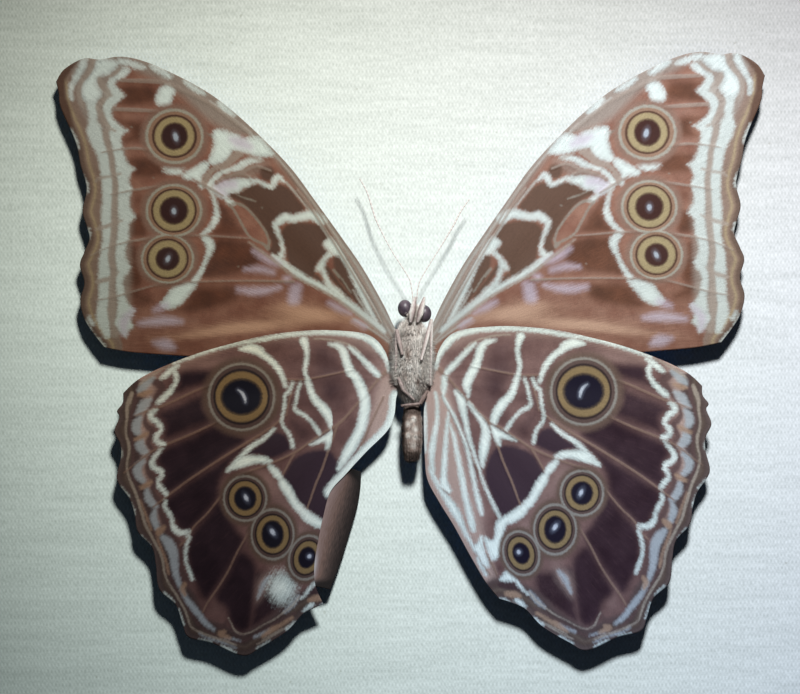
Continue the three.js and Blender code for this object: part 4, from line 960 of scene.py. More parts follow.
def wing_grid(costa, outer, inner, rows, columns):
    """P(u, v) = chord(u, v) + u (outer(v) - chord(1, v)), chord(u, v) running from costa(u) to inner(u)."""
    u, v = np.linspace(0, 1, rows), np.linspace(0, 1, columns)
    first, last = curve(costa, u)[:, None], curve(inner, u)[:, None]
    chord = first + (last - first) * v[None, :, None]
    return chord + u[:, None, None] * (curve(outer, v)[None] - chord[-1:])


def thin_body(surface, thickness, mirrored):
    """A grid of points as a closed skin: the grid half a thickness up, again half down, and a rim."""
    rows, columns = surface.shape[:2]
    count = rows * columns
    half = np.array([0, 0, thickness / 2])
    points = np.vstack([surface.reshape(-1, 3) + half, surface.reshape(-1, 3) - half])
    top = grid_faces(rows, columns)
    number = np.arange(count).reshape(rows, columns)
    around = np.concatenate([number[0, :-1], number[:-1, -1], number[-1, :0:-1], number[:0:-1, 0]])
    after = np.roll(around, -1)
    rim = np.stack([around, around + count, after + count, after], -1)
    faces = [top, top[:, ::-1] + count, rim]
    if mirrored:
        faces = [f[:, ::-1] for f in faces]
    under = np.concatenate([np.zeros(len(top)), np.ones(len(top)), np.zeros(len(rim))])
    return points, faces, under


def wing(name, flat, values, height, root, slot, mirrored):
    """The wing's skin with its height, relief and attributes."""
    rows, columns = flat.shape[:2]
    away = np.linalg.norm(flat - root, axis=-1)
    vein = np.clip((values["vein"].reshape(rows, columns) + 0.25) / 0.4, 0, 1)
    ray = values["ray"][:, 0].reshape(rows, columns) / RAY_TURN
    wave = WAVE_RISE * np.sin(ray * WAVES_PER_RADIAN) * np.clip(away / 25, 0, 1)
    z = height - hang(away) + VEIN_RISE * vein * vein * (3 - 2 * vein) + wave
    points, faces, under = thin_body(np.dstack([flat, z]), WING_THICK, mirrored)
    both = {key: np.concatenate([v, v]) for key, v in values.items()}
    piece = make_piece(name, points, faces, [undersides[slot], wing_blue], name, slot, both, under)
    lay_out(piece.data, points, under)


def lay_out(mesh, points, under):
    """A flat map for the skin: the upper side in the left half, the lower side in the right half."""
    low, high = points[:, :2].min(0), points[:, :2].max(0)
    place = (points[:, :2] - low) / (high - low).max() * MAP_SPAN + MAP_EDGE
    half = len(points) // 2
    corner = np.empty(len(mesh.loops), np.int32)
    mesh.loops.foreach_get("vertex_index", corner)
    shift = np.repeat(under, 4)[:, None] * [0.5, 0]
    rim = np.repeat(np.arange(len(under)) >= 2 * (under == 1).sum(), 4)
    corner = np.where(rim, corner % half, corner)
    mesh.uv_layers.new(name="OFBake").data.foreach_set("uv", (place[corner] + shift).ravel())


# %% [markdown]
# The wing's underside is covered in tiny scales: brown ground with darker fields, pearly white marks,
# eyespots. One material reads the depths from the skin and lays the colours over each other, row by row
# of a table. Grain of a few tenths of a millimetre frays the edges, and faint streaks along the rays
# stand for the rows of scales; both are drawn coarser than the scales are, so that they show.

# %% Wing materials
CLOUD_SCALE, GRAIN_SCALE, SCALES_SCALE = 300.0, 2600.0, 7000.0
MARGIN_SPAN = 5.0
# Painted shade: how much the left wings are darkened, and the share of that lost again further out.
SHADE_DEEPENING, SHADE_EBB = 0.18, 0.7
EYESPOT_ROWS = [
    ("ring", 5.2, 4.1, 1, 0.4, 0, "halo"), ("ring", 4.2, 3.7, 1, 0.5, 0.3, "pale"),
    ("ring", 3.5, 3.0, 1, 0.4, 0.1, "ring"), ("ring", 2.7, 2.3, 1, 0.2, 0, "rim"),
    ("ring", 2.2, 1.75, 1, 0.2, 0, "ochre"), ("ring", 1.16, 0.8, 1, 0.14, 0, "disc"),
    ("pupil", -0.6, 0.1, 0.5, 0.2, 0, "glow"), ("pupil", -0.16, 0.16, 1, 0.2, 0, "pupil"),
]
FIELD_ROWS = [
    ("shade", 0, -1, 1, 0, 0.2, "light"), ("shade", 0, 1.4, 1, 0, 0.2, "deep"),
    ("gloom", 0, 1, 1, 0.2, 0.4, "deep"), ("warm", 0, 1, 1, 0, 0.5, "warm"),
    ("haze", 0, 1, 1, 0, 0.3, "haze"),
]


def wing_material(name, tints, margin, rows, reach, shade_cast, middle, light_change):
    """Lays tints over the ground, row by row: (attribute, where it starts, where it is full, strength,
    fraying by grain and by streaks in mm, tint). margin gives colours by the distance from the outer edge.
    Painted shade: between the first two x in reach the colours darken and take on cast, and between the
    other two 0.7 of that darkening is lost again. Painted light: each metre of y over middle adds change."""
    material, tree, shader = new_material(name, Roughness=0.6, Specular_IOR_Level=0.14)
    tints = {key: colour(code) for key, code in tints.items()}
    place = add(tree, "TexCoord").outputs["Object"]
    rays = add(tree, "Attribute", attribute_name="ray").outputs["Vector"]
    edge = add(tree, "Attribute", attribute_name="edge").outputs["Fac"]
    cloud = add(tree, "TexNoise", {"Vector": place, "Scale": CLOUD_SCALE, "Detail": 5.0}).outputs["Fac"]
    noises = []
    for vector, scale in ((place, GRAIN_SCALE), (rays, 1.0)):
        noise = add(tree, "TexNoise", {"Vector": vector, "Scale": scale, "Detail": 3.0}).outputs["Fac"]
        noises.append(add(tree, "Math", {0: noise, 1: 0.5}, operation="SUBTRACT").outputs[0])
    share = add(tree, "MapRange", {"Value": cloud, "From Min": 0.35, "From Max": 0.68}).outputs[0]
    for key in ("ground", "white", "deep"):
        inputs = {0: share, 6: tints[key], 7: tints[key + "_two"]}
        tints[key] = add(tree, "Mix", inputs, data_type="RGBA").outputs[2]
    inward = add(tree, "Math", {0: edge, 1: MARGIN_SPAN}, operation="DIVIDE").outputs[0]
    stops = [(where / MARGIN_SPAN, code) for where, code in margin]
    tints["margin"] = add(tree, "ValToRGB", {"Fac": inward}, stops).outputs[0]

    shown = tints["ground"]
    for key, start, full, strength, *fraying, tint in rows:
        depth = add(tree, "Attribute", attribute_name=key).outputs["Fac"]
        for noise, amount in zip(noises, fraying):
            depth = add(tree, "Math", {0: noise, 1: amount, 2: depth}, operation="MULTIPLY_ADD").outputs[0]
        inputs = {"Value": depth, "From Min": start, "From Max": full, "To Max": strength}
        share = add(tree, "MapRange", inputs, interpolation_type="SMOOTHSTEP").outputs[0]
        shown = add(tree, "Mix", {0: share, 6: shown, 7: tints[tint]}, data_type="RGBA").outputs[2]

    scales = add(tree, "TexNoise", {"Vector": place, "Scale": SCALES_SCALE, "Detail": 2.0}).outputs["Fac"]
    tone = add(tree, "Math", {0: noises[1], 1: 0.4, 2: 0.58}, operation="MULTIPLY_ADD").outputs[0]
    tone = add(tree, "Math", {0: scales, 1: 0.84, 2: tone}, operation="MULTIPLY_ADD").outputs[0]
    x, y, _ = add(tree, "SeparateXYZ", {0: place}).outputs
    # Painted shade to the left of the body, easing further out, and painted light changing with y.
    far, ebb = (
        add(tree, "MapRange", {"Value": x, "From Min": near, "From Max": end, "To Max": most}).outputs[0]
        for near, end, most in ((*reach[:2], 1.0), (*reach[2:], SHADE_EBB))
    )
    shade_depth = add(tree, "Math", {0: far, 1: ebb}, operation="SUBTRACT").outputs[0]
    power = add(tree, "Math", {0: shade_depth, 1: SHADE_DEEPENING, 2: 1.0}, operation="MULTIPLY_ADD").outputs[0]
    shown = add(tree, "Gamma", {"Color": shown, "Gamma": power}).outputs[0]
    shade_tint = add(tree, "Mix", {0: far, 6: (1, 1, 1, 1), 7: (*shade_cast, 1)}, data_type="RGBA").outputs[2]
    rest = tuple(1 - middle * step for step in light_change)
    lean = add(tree, "VectorMath", {0: y, 1: light_change, 2: rest}, operation="MULTIPLY_ADD").outputs[0]
    for factor in (shade_tint, lean):
        shown = add(tree, "VectorMath", {0: shown, 1: factor}, operation="MULTIPLY").outputs[0]
    toned = add(tree, "VectorMath", {0: shown, "Scale": tone}, operation="SCALE").outputs[0]
    tree.links.new(toned, shader.inputs["Base Color"])
    relief = add(tree, "Bump", {"Height": scales, "Strength": 0.25, "Distance": 0.00004}).outputs[0]
    tree.links.new(relief, shader.inputs["Normal"])
    print(f"{name}: {len(tree.nodes)} nodes")
    return material


FOREWING_TINTS = {
    "ground": "#795245", "ground_two": "#8b6759", "light": "#9e837b", "deep": "#533528",
    "deep_two": "#664131", "warm": "#af8e7b", "haze": "#8b7f78", "dark": "#5a4338", "vein": "#8f827a",
    "stripe": "#a19e9a", "band": "#b8c0bf", "white": "#b0b8b8", "core": "#c9d3d2", "white_two": "#bdc2c1",
    "lilac": "#b2a8b8", "brown": "#968a82", "cream": "#857f77", "disc": "#3a201c", "ochre": "#968768",
    "rim": "#4f372c", "ring": "#886d5c", "pale": "#948f86", "halo": "#7e6459", "glow": "#6a6670",
    "pupil": "#98a0ad",
}
FOREWING_MARGIN = [
    (0, "#5d4d47"), (0.6, "#665349"), (1.0, "#7e6a5e"), (1.45, "#98876f"), (1.9, "#847164"),
    (2.4, "#816d63"), (3.0, "#85736a"),
]
FOREWING_ROWS = [
    *FIELD_ROWS, ("edge", 3.4, 2.7, 1, 0.5, 0.2, "margin"), ("dark", -0.5, 0.4, 1, 0.4, 0.5, "dark"),
    ("stripe", -0.25, 0.25, 0.85, 0.3, 0.2, "stripe"), ("band", -0.5, 0.4, 0.95, 0.7, 0.5, "band"),
    ("white", -0.5, 0.3, 0.95, 0.7, 0.6, "white"), ("white", 0.1, 0.9, 0.8, 0.7, 0.5, "core"),
    ("lilac", -0.9, 0.7, 0.75, 0.5, 0.9, "lilac"),
    ("brown", -0.3, 0.3, 0.85, 0.4, 0.3, "brown"), ("vein", -0.14, 0.16, 0.7, 0.2, 0, "vein"),
    ("cream", -0.2, 0.2, 0.8, 0.3, 0, "cream"), *EYESPOT_ROWS,
]
HINDWING_TINTS = {
    "ground": "#5a4445", "ground_two": "#6e5757", "light": "#8f7b7a", "deep": "#251520",
    "deep_two": "#31212b", "warm": "#74564a", "haze": "#988683", "dark": "#332632", "vein": "#78655d",
    "band": "#514042", "white": "#aebdc1", "core": "#cddadc", "white_two": "#bfcbcf", "blue": "#939ca7",
    "orange": "#8f796b", "brown": "#38292f", "cream": "#948d87", "disc": "#0f0b1f", "ochre": "#78684e",
    "rim": "#2c2224", "ring": "#4f4140", "pale": "#7a7877", "halo": "#584944", "glow": "#5a6278",
    "pupil": "#a3adc0",
}
HINDWING_MARGIN = [
    (0, "#554a4b"), (0.7, "#493e3e"), (1.05, "#4c403d"), (1.5, "#574c48"), (1.9, "#4a3f3e"),
    (2.4, "#46393a"), (3.2, "#4c4042"),
]
HINDWING_ROWS = [
    *FIELD_ROWS, ("edge", 4.2, 2.9, 1, 0.5, 0.2, "margin"), ("dark", -0.6, 0.5, 1, 0.4, 0.5, "dark"),
    ("band", -0.35, 0.3, 0.9, 0.4, 0.3, "band"), ("brown", -0.25, 0.25, 0.8, 0.3, 0.2, "brown"),
    ("blue", -0.4, 0.4, 0.9, 0.5, 0.4, "blue"), ("orange", -0.35, 0.3, 0.85, 0.4, 0.2, "orange"),
    ("cream", -0.2, 0.2, 0.75, 0.3, 0, "cream"), ("vein", -0.14, 0.14, 0.75, 0.2, 0, "vein"),
    ("white", -0.45, 0.28, 0.95, 0.6, 0.5, "white"), ("white", 0.1, 0.7, 0.9, 0.6, 0.5, "core"),
    *EYESPOT_ROWS,
]
# Painted shade and light: the left wings are painted darker and browner than the right ones, the forewings
# paler towards their tips and the hindwings warmer above and bluer below, standing in for the lamp's uneven
# light.
undersides = {
    "forewing": wing_material(
        "forewing_scales", FOREWING_TINTS, FOREWING_MARGIN, FOREWING_ROWS,
        (-0.002, -0.012, -0.040, -0.060), (0.97, 0.92, 0.80), 0.025, (9, 9, 10),
    ),
    "hindwing": wing_material(
        "hindwing_scales", HINDWING_TINTS, HINDWING_MARGIN, HINDWING_ROWS,
        (-0.006, -0.026, -0.037, -0.049), (0.98, 0.85, 0.70), -0.018, (3, 0, -5),
    ),
}

# %% [markdown]
# The other side of the wings, turned to the linen, is the bright one: metallic blue with a brown border.

# %% Upper side of the wings
wing_blue, tree, shader = new_material("wing_blue", Metallic=0.6, Roughness=0.38)
inside = add(tree, "Attribute", attribute_name="edge").outputs["Fac"]
inputs = {"Value": inside, "From Min": 2.0, "From Max": 9.0}
share = add(tree, "MapRange", inputs, interpolation_type="SMOOTHSTEP").outputs[0]
place = add(tree, "TexCoord").outputs["Object"]
glint = add(tree, "TexNoise", {"Vector": place, "Scale": 5000.0, "Detail": 2.0}).outputs["Fac"]
blue = add(tree, "Mix", {0: glint, 6: colour("#1d4f9c"), 7: colour("#3f86c9")}, data_type="RGBA").outputs[2]
tree.links.new(
    add(tree, "Mix", {0: share, 6: colour("#33241f"), 7: blue}, data_type="RGBA").outputs[2],
    shader.inputs["Base Color"],
)

# %% [markdown]
# Both forewings share one grid of points and one set of depths: the left one is the right one turned and
# mirrored. The left hindwing runs to a folded inner margin of its own, so its depths are worked out again.
# Along that margin the mirrored white stripes fade out, and two bare stripes and a pale bloom come in.

# %% Wings
FOREWING_GRID, HINDWING_GRID = (241, 191), (191, 251)
STRIPES_END, STRIPES_TOP = -13.4, -3.5
BARE_WIDTH = 2.1
BARE_STRIPE = [
    (-9.6, -3.2, 1.2), (-8.6, -5.2, 1.5), (-7.9, -7.6, 1.6), (-8.1, -10, 1.6), (-8.9, -12.8, 1.6),
    (-10.8, -16.2, 1.6), (-12.3, -18.9, 0.7),
]
BLOOM_PLACE, BLOOM_HALF = (-21.8, -38.9), (3.1, 3.7)
fore_tables = (
    FOREWING_MARKS, FOREWING_GLOOM, FOREWING_HAZE, FOREWING_EYES, FOREWING_PUPILS, FOREWING_SHADE,
    FOREWING_WARM, FOREWING_ROOT, FOREWING_OUTER,
)
hind_tables = (
    HINDWING_MARKS, HINDWING_GLOOM, HINDWING_HAZE, HINDWING_EYES, HINDWING_PUPILS, HINDWING_SHADE,
    HINDWING_WARM, HINDWING_ROOT, HINDWING_OUTER,
)
flat = wing_grid(FOREWING_COSTA, FOREWING_OUTER, FOREWING_INNER, *FOREWING_GRID)
fore_values = markings(flat.reshape(-1, 2), *fore_tables)
wing("right_forewing", flat, fore_values, FOREWING_HEIGHT, FOREWING_ROOT, "forewing", False)
left_flat = to_left(flat.reshape(-1, 2), FOREWING_SHIFT).reshape(flat.shape)
left_root = to_left([FOREWING_ROOT], FOREWING_SHIFT)[0]
wing("left_forewing", left_flat, fore_values, FOREWING_HEIGHT, left_root, "forewing", True)

flat = wing_grid(HINDWING_COSTA, HINDWING_OUTER, HINDWING_INNER, *HINDWING_GRID)
hind_values = markings(flat.reshape(-1, 2), *hind_tables)
wing("right_hindwing", flat, hind_values, HINDWING_HEIGHT, HINDWING_ROOT, "hindwing", False)
left_outer = to_left(HINDWING_OUTER, HINDWING_SHIFT)
left_outer[-1] = FOLDED_INNER[-1]
flat = wing_grid(to_left(HINDWING_COSTA, HINDWING_SHIFT), left_outer, FOLDED_INNER, *HINDWING_GRID)
spots = flat.reshape(-1, 2)
left_values = markings(from_left(spots, HINDWING_SHIFT), *hind_tables)
white = left_values["white"]
white -= np.clip(spots[:, 0] - STRIPES_END, 0, 1) * np.clip(STRIPES_TOP - spots[:, 1], 0, 4)
bare_edge = [(x, y, BARE_WIDTH) for x, y in FOLDED_INNER[1:7]]
bloom = 0.6 - 0.95 * np.hypot(*((spots - BLOOM_PLACE) / BLOOM_HALF).T)
for extra in (bloom, line_depth(spots, bare_edge), line_depth(spots, BARE_STRIPE)):
    white = np.maximum(white, extra)
left_values["white"] = white
left_root = to_left([HINDWING_ROOT], HINDWING_SHIFT)[0]
wing("left_hindwing", flat, left_values, HINDWING_HEIGHT, left_root, "hindwing", True)

# %% [markdown]
# Along the left hindwing's inner margin a strip has bent down in drying. It leaves the wing level and curves
# down to its free edge near the cloth, so it is a surface between two curves whose height falls with a
# power of the share across; its scales are rubbed off to brown. Painted shade darkens it towards the free
# edge and at both ends, and a painted bluish sheen lies low down near the fold.

# %% Bent strip
STRIP_FOLD = [(-10.6, -18.6), (-13.9, -22.2), (-15.7, -27), (-16.7, -31.4), (-17.3, -35.4), (-17.1, -38.4)]
STRIP_FREE_EDGE = [(-8.6, -19.6), (-8.7, -22.2), (-9.2, -25.4), (-10.4, -29.6), (-12.1, -35), (-13.8, -39.4)]
STRIP_DROP = [2.6, 3.2, 3.4, 3.3, 2.8, 1.6]
STRIP_POINTS = (121, 25)
STRIP_THICK, STRIP_GAP = 0.16, 0.06
HAIRS_ALONG, HAIRS_ACROSS = 18, 40
# Brown near the fold, going over into painted shade towards the free edge.
BROWNS_AND_PAINTED_SHADE = [
    (0, "#8f7c7a"), (0.2, "#806c69"), (0.42, "#6d5852"), (0.62, "#4d403d"), (0.8, "#332a29"), (1, "#1d1818"),
]
share, across = (np.linspace(0, 1, count) for count in STRIP_POINTS)
fold, free = curve(STRIP_FOLD, share), curve(STRIP_FREE_EDGE, share)
strip = fold[:, None] + (free - fold)[:, None] * across[None, :, None]
drop = np.interp(share, np.linspace(0, 1, len(STRIP_DROP)), STRIP_DROP)[:, None] * across**1.5
away = np.linalg.norm(strip - left_root, axis=-1)
strip = np.dstack([strip, HINDWING_HEIGHT - STRIP_GAP - hang(away) - drop])
strip_points, strip_faces, _ = thin_body(strip, STRIP_THICK, True)
rubbed_and_shaded, tree, shader = new_material("rubbed_scales_and_painted_shade", Roughness=0.75, Specular_IOR_Level=0.25)
lie = add(tree, "Attribute", attribute_name="lie").outputs["Vector"]
hairy = add(tree, "TexNoise", {"Vector": lie, "Scale": 1.0, "Detail": 4.0}).outputs["Fac"]
stray = add(tree, "MapRange", {"Value": hairy, "To Min": -0.28, "To Max": 0.28}).outputs[0]
inputs = {0: add(tree, "SeparateXYZ", {0: lie}).outputs[1], 1: 1 / HAIRS_ACROSS, 2: stray}
inward = add(tree, "Math", inputs, operation="MULTIPLY_ADD").outputs[0]
brown = add(tree, "ValToRGB", {"Fac": inward}, BROWNS_AND_PAINTED_SHADE).outputs[0]
glint = add(tree, "Attribute", attribute_name="glint").outputs["Fac"]
shown = add(tree, "Mix", {0: glint, 6: brown, 7: colour("#b9bcc6")}, data_type="RGBA").outputs[2]
tree.links.new(shown, shader.inputs["Base Color"])
# Painted shade at both ends of the strip, and a painted sheen low down near the fold.
ends = np.exp(-((share / 0.06) ** 2)) + np.exp(-(((1 - share) / 0.05) ** 2))
dusk = across[None] + 0.8 * ends[:, None]
lie = np.stack(np.broadcast_arrays(share[:, None] * HAIRS_ALONG, dusk * HAIRS_ACROSS, 0.0), -1).reshape(-1, 3)
shine = 0.75 * np.exp(-(((share[:, None] - 0.84) / 0.09) ** 2) - ((across[None] - 0.16) / 0.1) ** 2).ravel()
strip_values = {"lie": np.vstack([lie, lie]), "glint": np.append(shine, shine)}
make_piece("left_hindwing_fold", strip_points, strip_faces, [rubbed_and_shaded], None, "hindwing", strip_values)

# %% [markdown]
# The body is covered in hair and scales. Its skin is a body of revolution a little inside the solid, and
# the hairs that grow from it, each a bent three-sided spike, reach the solid's surface. A tone from dark
# brown to cream goes with every hair, from soft spots over the body, three of them painted shade, and a
# share of chance.

# %% Body hair
THORAX = [
    (0, -7.6), (1.1, -7.3), (2, -6.2), (2.65, -4.4), (2.95, -2), (2.95, 0.4), (2.7, 2.4), (2.15, 4.1),
    (1.3, 5.1), (0, 5.4),
]
# Three dark spots are painted shade: at the tail's end, along the abdomen's left side and just below the
# right hind leg.
BODY_SPOTS_AND_SHADE = [
    (-0.6, 3.8, 1.2, 1.4, -0.1), (1.15, 4.5, 0.3, 0.8, -0.35), (1.5, 3.5, 0.25, 1.2, 0.3, -26),
    (-0.7, 0.5, 0.5, 1.0, -0.4), (-2.5, 1.5, 0.5, 0.9, -0.25), (-1.4, 0, 0.3, 0.45, 0.35),
    (-0.5, -1.9, 0.4, 0.5, 0.4), (0.2, -5, 0.35, 0.6, 0.35), (0.1, -6.2, 0.4, 0.5, 0.3),
    (0.9, -4, 0.35, 0.6, -0.5), (-1.2, -2.9, 0.6, 0.9, -0.2), (1.2, -1.5, 0.4, 0.9, 0.2),
    (-2.0, -5, 0.8, 1.6, -0.2), (1.9, -5.5, 0.7, 1.2, -0.2), (0, -8.1, 1.7, 0.3, 0.3),
    (0.3, -10.5, 0.4, 0.5, 0.6), (-0.7, -11.3, 0.4, 0.5, 0.6), (0.6, -12.2, 0.4, 0.5, 0.6),
    (-0.7, -13.2, 0.4, 0.5, 0.6), (0.6, -13.5, 0.4, 0.4, 0.6), (0.3, -15, 0.5, 0.6, 0.4),
    (0, -12.5, 0.7, 4.5, 0.1), (1.1, 8.4, 0.3, 0.5, 0.5), (0, -16.9, 2, 1.2, -0.35),
    (-1.6, -12.5, 0.6, 4.5, -0.3), (0, -9.3, 1.6, 0.8, -0.2),
]
SPIKE_POINTS = 7
SPIKE_FACES = np.array([
    [0, 1, 4], [0, 4, 3], [1, 2, 5], [1, 5, 4], [2, 0, 3], [2, 3, 5],
    [3, 4, 6], [4, 5, 6], [5, 3, 6], [0, 2, 1],
])
TUFTS = 64
TONE_SPREAD = 0.07
ROOT_SPREAD = 0.06


def joined(*bodies):
    """Several (points, faces) bodies as one."""
    points, faces, count = [], [], 0
    for some, parts in bodies:
        points.append(some)
        faces += [part + count for part in parts]
        count += len(some)
    return np.vstack(points), faces


def spikes(roots, outward, lengths, lean, radius=0.03):
    """Hairs: from each root a three-sided spike that leaves along outward and bends over along lean."""
    count = len(roots)
    side = np.cross(outward, lean)
    side /= np.maximum(np.linalg.norm(side, axis=1, keepdims=True), 1e-9)
    other = np.cross(side, outward)
    turn = np.radians([0, 120, 240])
    ring = np.cos(turn)[None, :, None] * side[:, None] + np.sin(turn)[None, :, None] * other[:, None]
    length = lengths[:, None]
    middle = roots + length * (0.2 * outward + 0.3 * lean)
    tip = roots + length * (0.24 * outward + 0.9 * lean)
    base = roots - 0.05 * outward
    hairs = [base[:, None] + radius * ring, middle[:, None] + 0.75 * radius * ring, tip[:, None]]
    faces = SPIKE_FACES[None] + SPIKE_POINTS * np.arange(count)[:, None, None]
    return np.concatenate(hairs, 1).reshape(-1, 3), [faces.reshape(-1, 3)]


def furred(rings, coats, base):
    """A skin of rings with coats of hair, and a tone for each point around base.

    A coat is (count, length, lean, spread, where); where(points, normals) gives the share of its hairs
    that a place of the skin gets."""
    across = np.gradient(rings, axis=0)
    around = np.roll(rings, -1, 1) - np.roll(rings, 1, 1)
    normal = np.cross(around, across)
    normal /= np.maximum(np.linalg.norm(normal, axis=-1, keepdims=True), 1e-9)
    normal *= np.sign((normal * (rings - rings.mean(1, keepdims=True))).sum(-1).mean())
    area = np.linalg.norm(around, axis=-1) * np.linalg.norm(across, axis=-1)
    bodies = [rings_body(rings)]
    tones = [base - 0.1 + soft_sum(bodies[0][0][:, :2], BODY_SPOTS_AND_SHADE)]
    bars = rng.normal(0, TONE_SPREAD, TUFTS)
    for count, length, lean, spread, where in coats:
        weight = (area * where(rings, normal)).ravel()
        pick = rng.choice(len(weight), count, p=weight / weight.sum())
        roots = rings.reshape(-1, 3)[pick] + rng.normal(0, ROOT_SPREAD, (count, 3)) * [1, 1, 0.3]
        leaning = np.array(lean) + spread * rng.normal(0, 1, (count, 3))
        leaning /= np.linalg.norm(leaning, axis=1, keepdims=True)
        lengths = length * rng.uniform(0.55, 1.1, count)
        bodies.append(spikes(roots, normal.reshape(-1, 3)[pick], lengths, leaning))
        tone = base + soft_sum(roots[:, :2], BODY_SPOTS_AND_SHADE) + rng.normal(0, TONE_SPREAD, count)
        tone = tone + np.interp(roots[:, 0], np.linspace(-4, 4, TUFTS), bars)
        tones.append(np.repeat(tone, SPIKE_POINTS))
    return *joined(*bodies), {"tone": np.clip(np.concatenate(tones), 0, 1)}


def lathe(profile, steps, sides, flatness, shrink):
    """Rings of a body of revolution about the line from tail to head; profile gives (radius, place)."""
    shape = curve(profile, np.linspace(0.004, 0.996, steps))
    radius = np.maximum(shape[:, 0] - shrink, 0.05)
    turn = np.linspace(0, 2 * np.pi, sides, endpoint=False)
    x = radius[:, None] * np.sin(turn)
    z = radius[:, None] * np.cos(turn) * flatness + BODY_AXIS
    y = np.repeat(shape[:, 1][:, None], sides, 1)
    return np.stack([x, y, z], -1)


def ball(place, half, steps=24, sides=32):
    """Rings of an ellipsoid about the line from tail to head."""
    fall = np.linspace(0.04, np.pi - 0.04, steps)[:, None]
    turn = np.linspace(0, 2 * np.pi, sides, endpoint=False)[None]
    axes = np.broadcast_arrays(np.sin(fall) * np.sin(turn), -np.cos(fall), np.sin(fall) * np.cos(turn))
    return np.array(place) + np.stack(axes, -1) * half


def flank(side):
    """Where a flank's coat grows: on skin that faces that side and not down, away from the thorax's ends."""
    return lambda at, out: (side * out[..., 0] > 0.7) & (out[..., 2] > -0.1) & (abs(at[..., 1]) < 4.5)


fur, tree, shader = new_material("body_hair", Roughness=0.8, Specular_IOR_Level=0.3)
tone = add(tree, "Attribute", attribute_name="tone").outputs["Fac"]
FUR_TONES = [(0, "#2e2420"), (0.25, "#8a766c"), (0.5, "#c6bab2"), (0.75, "#e2dcd5"), (1, "#f6f3ee")]
shown = add(tree, "ValToRGB", {"Fac": tone}, FUR_TONES).outputs[0]
tree.links.new(shown, shader.inputs["Base Color"])

THORAX_COATS = [
    (8500, 1.2, (0, -1, 0.05), 0.16, lambda at, out: out[..., 2] > -0.5),
    (1400, 1.4, (0, 1, 0.1), 0.2, lambda at, out: at[..., 1] > 3.2),
    (1000, 1.5, (1, -0.4, 0.1), 0.3, flank(1)),
    (1000, 1.5, (-1, -0.4, 0.1), 0.3, flank(-1)),
]
ABDOMEN_COATS = [(4500, 0.6, (0, -1, 0), 0.12, lambda at, out: out[..., 2] > -0.6)]
HEAD_COATS = [(2400, 0.8, (0, 0.5, 0.2), 0.4, lambda at, out: out[..., 2] > -0.6)]
HEAD_PLACE, HEAD_HALF = np.array([0.5, 6.75, BODY_AXIS]), np.array([1.75, 1.75, 1.8])
SEGMENTS = 15
along = np.linspace(0, 1, SEGMENTS)
waist = 1.75 * np.sin(np.pi * (0.12 + 0.8 * along)) ** 0.35 - 0.08 * (np.arange(SEGMENTS) % 2)
ABDOMEN = [(0, -17.4), *np.column_stack([waist, -17.2 + 9.6 * along]).tolist(), (0, -7.4)]
for name, rings, coats, base in (
    ("thorax", lathe(THORAX, 60, 48, 0.95, 0.2), THORAX_COATS, 0.72),
    ("abdomen", lathe(ABDOMEN, 90, 40, 1.0, 0.1), ABDOMEN_COATS, 0.32),
    ("head", ball(HEAD_PLACE, HEAD_HALF - 0.35), HEAD_COATS, 0.6),
):
    points, faces, tones = furred(rings, coats, base)
    make_piece(name, points, faces, [fur], name, "body_fur", tones)

# %% [markdown]
# Eyes are dark domes whose facets, far finer in life, are drawn a tenth of a millimetre wide. Palps, legs
# and antennae are thin limbs covered in scales: the palps white along one side, the legs mauve grey with
# a paler line, the antennae of short rings that thicken to a slim club.

# %% Head and limbs
EYE_HALF = np.array([1.2, 1.45, 1.2])
EYE_HEIGHT = LINEN_TOP + 4.7
eye, tree, shader = new_material("compound_eye", Roughness=0.42, Coat_Weight=0.1)
place = add(tree, "TexCoord").outputs["Object"]
facets = add(tree, "TexVoronoi", {"Vector": place, "Scale": 9000.0}).outputs["Distance"]
sheen = add(tree, "TexNoise", {"Vector": place, "Scale": 900.0}).outputs["Fac"]
shown = add(tree, "ValToRGB", {"Fac": sheen}, [(0.35, "#352d38"), (0.7, "#5d5058")]).outputs[0]
tree.links.new(shown, shader.inputs["Base Color"])
relief = add(tree, "Bump", {"Height": facets, "Strength": 0.2, "Distance": 0.00003}).outputs[0]
tree.links.new(relief, shader.inputs["Normal"])
for name, where in (("left_eye", (-1.2, 8, EYE_HEIGHT)), ("right_eye", (2.05, 7.1, EYE_HEIGHT))):
    points, faces = rings_body(ball(where, EYE_HALF, 32, 40))
    make_piece(name, points, faces, [eye], name, "eye")

scaled, tree, shader = new_material("limb_scales", Roughness=0.75, Specular_IOR_Level=0.3)
tone = add(tree, "Attribute", attribute_name="tone").outputs["Fac"]
mauve = [(0, "#6b5750"), (0.5, "#b0a19d"), (1, "#f2efe8")]
shown = add(tree, "ValToRGB", {"Fac": tone}, mauve).outputs[0]
tree.links.new(shown, shader.inputs["Base Color"])


def tube(path, radii, steps, sides, ripple=None):
    """Rings round a path: at each share of the length a circle whose radius runs through radii.

    The circle stands across the path, one axis level and one upright; ripple scales the radii."""
    share = np.linspace(0, 1, steps + 1)
    middle = curve(path, share)
    radius = np.interp(share, np.linspace(0, 1, len(radii)), radii)
    if ripple is not None:
        radius = radius * ripple(share)
    along = np.gradient(middle, axis=0)
    along /= np.linalg.norm(along, axis=1, keepdims=True)
    level = np.cross(along, [0, 0, 1.0])
    level /= np.linalg.norm(level, axis=1, keepdims=True)
    upright = np.cross(level, along)
    turn = np.linspace(0, 2 * np.pi, sides, endpoint=False)
    across = np.cos(turn)[None, :, None] * level[:, None] + np.sin(turn)[None, :, None] * upright[:, None]
    return middle[:, None] + radius[:, None, None] * across


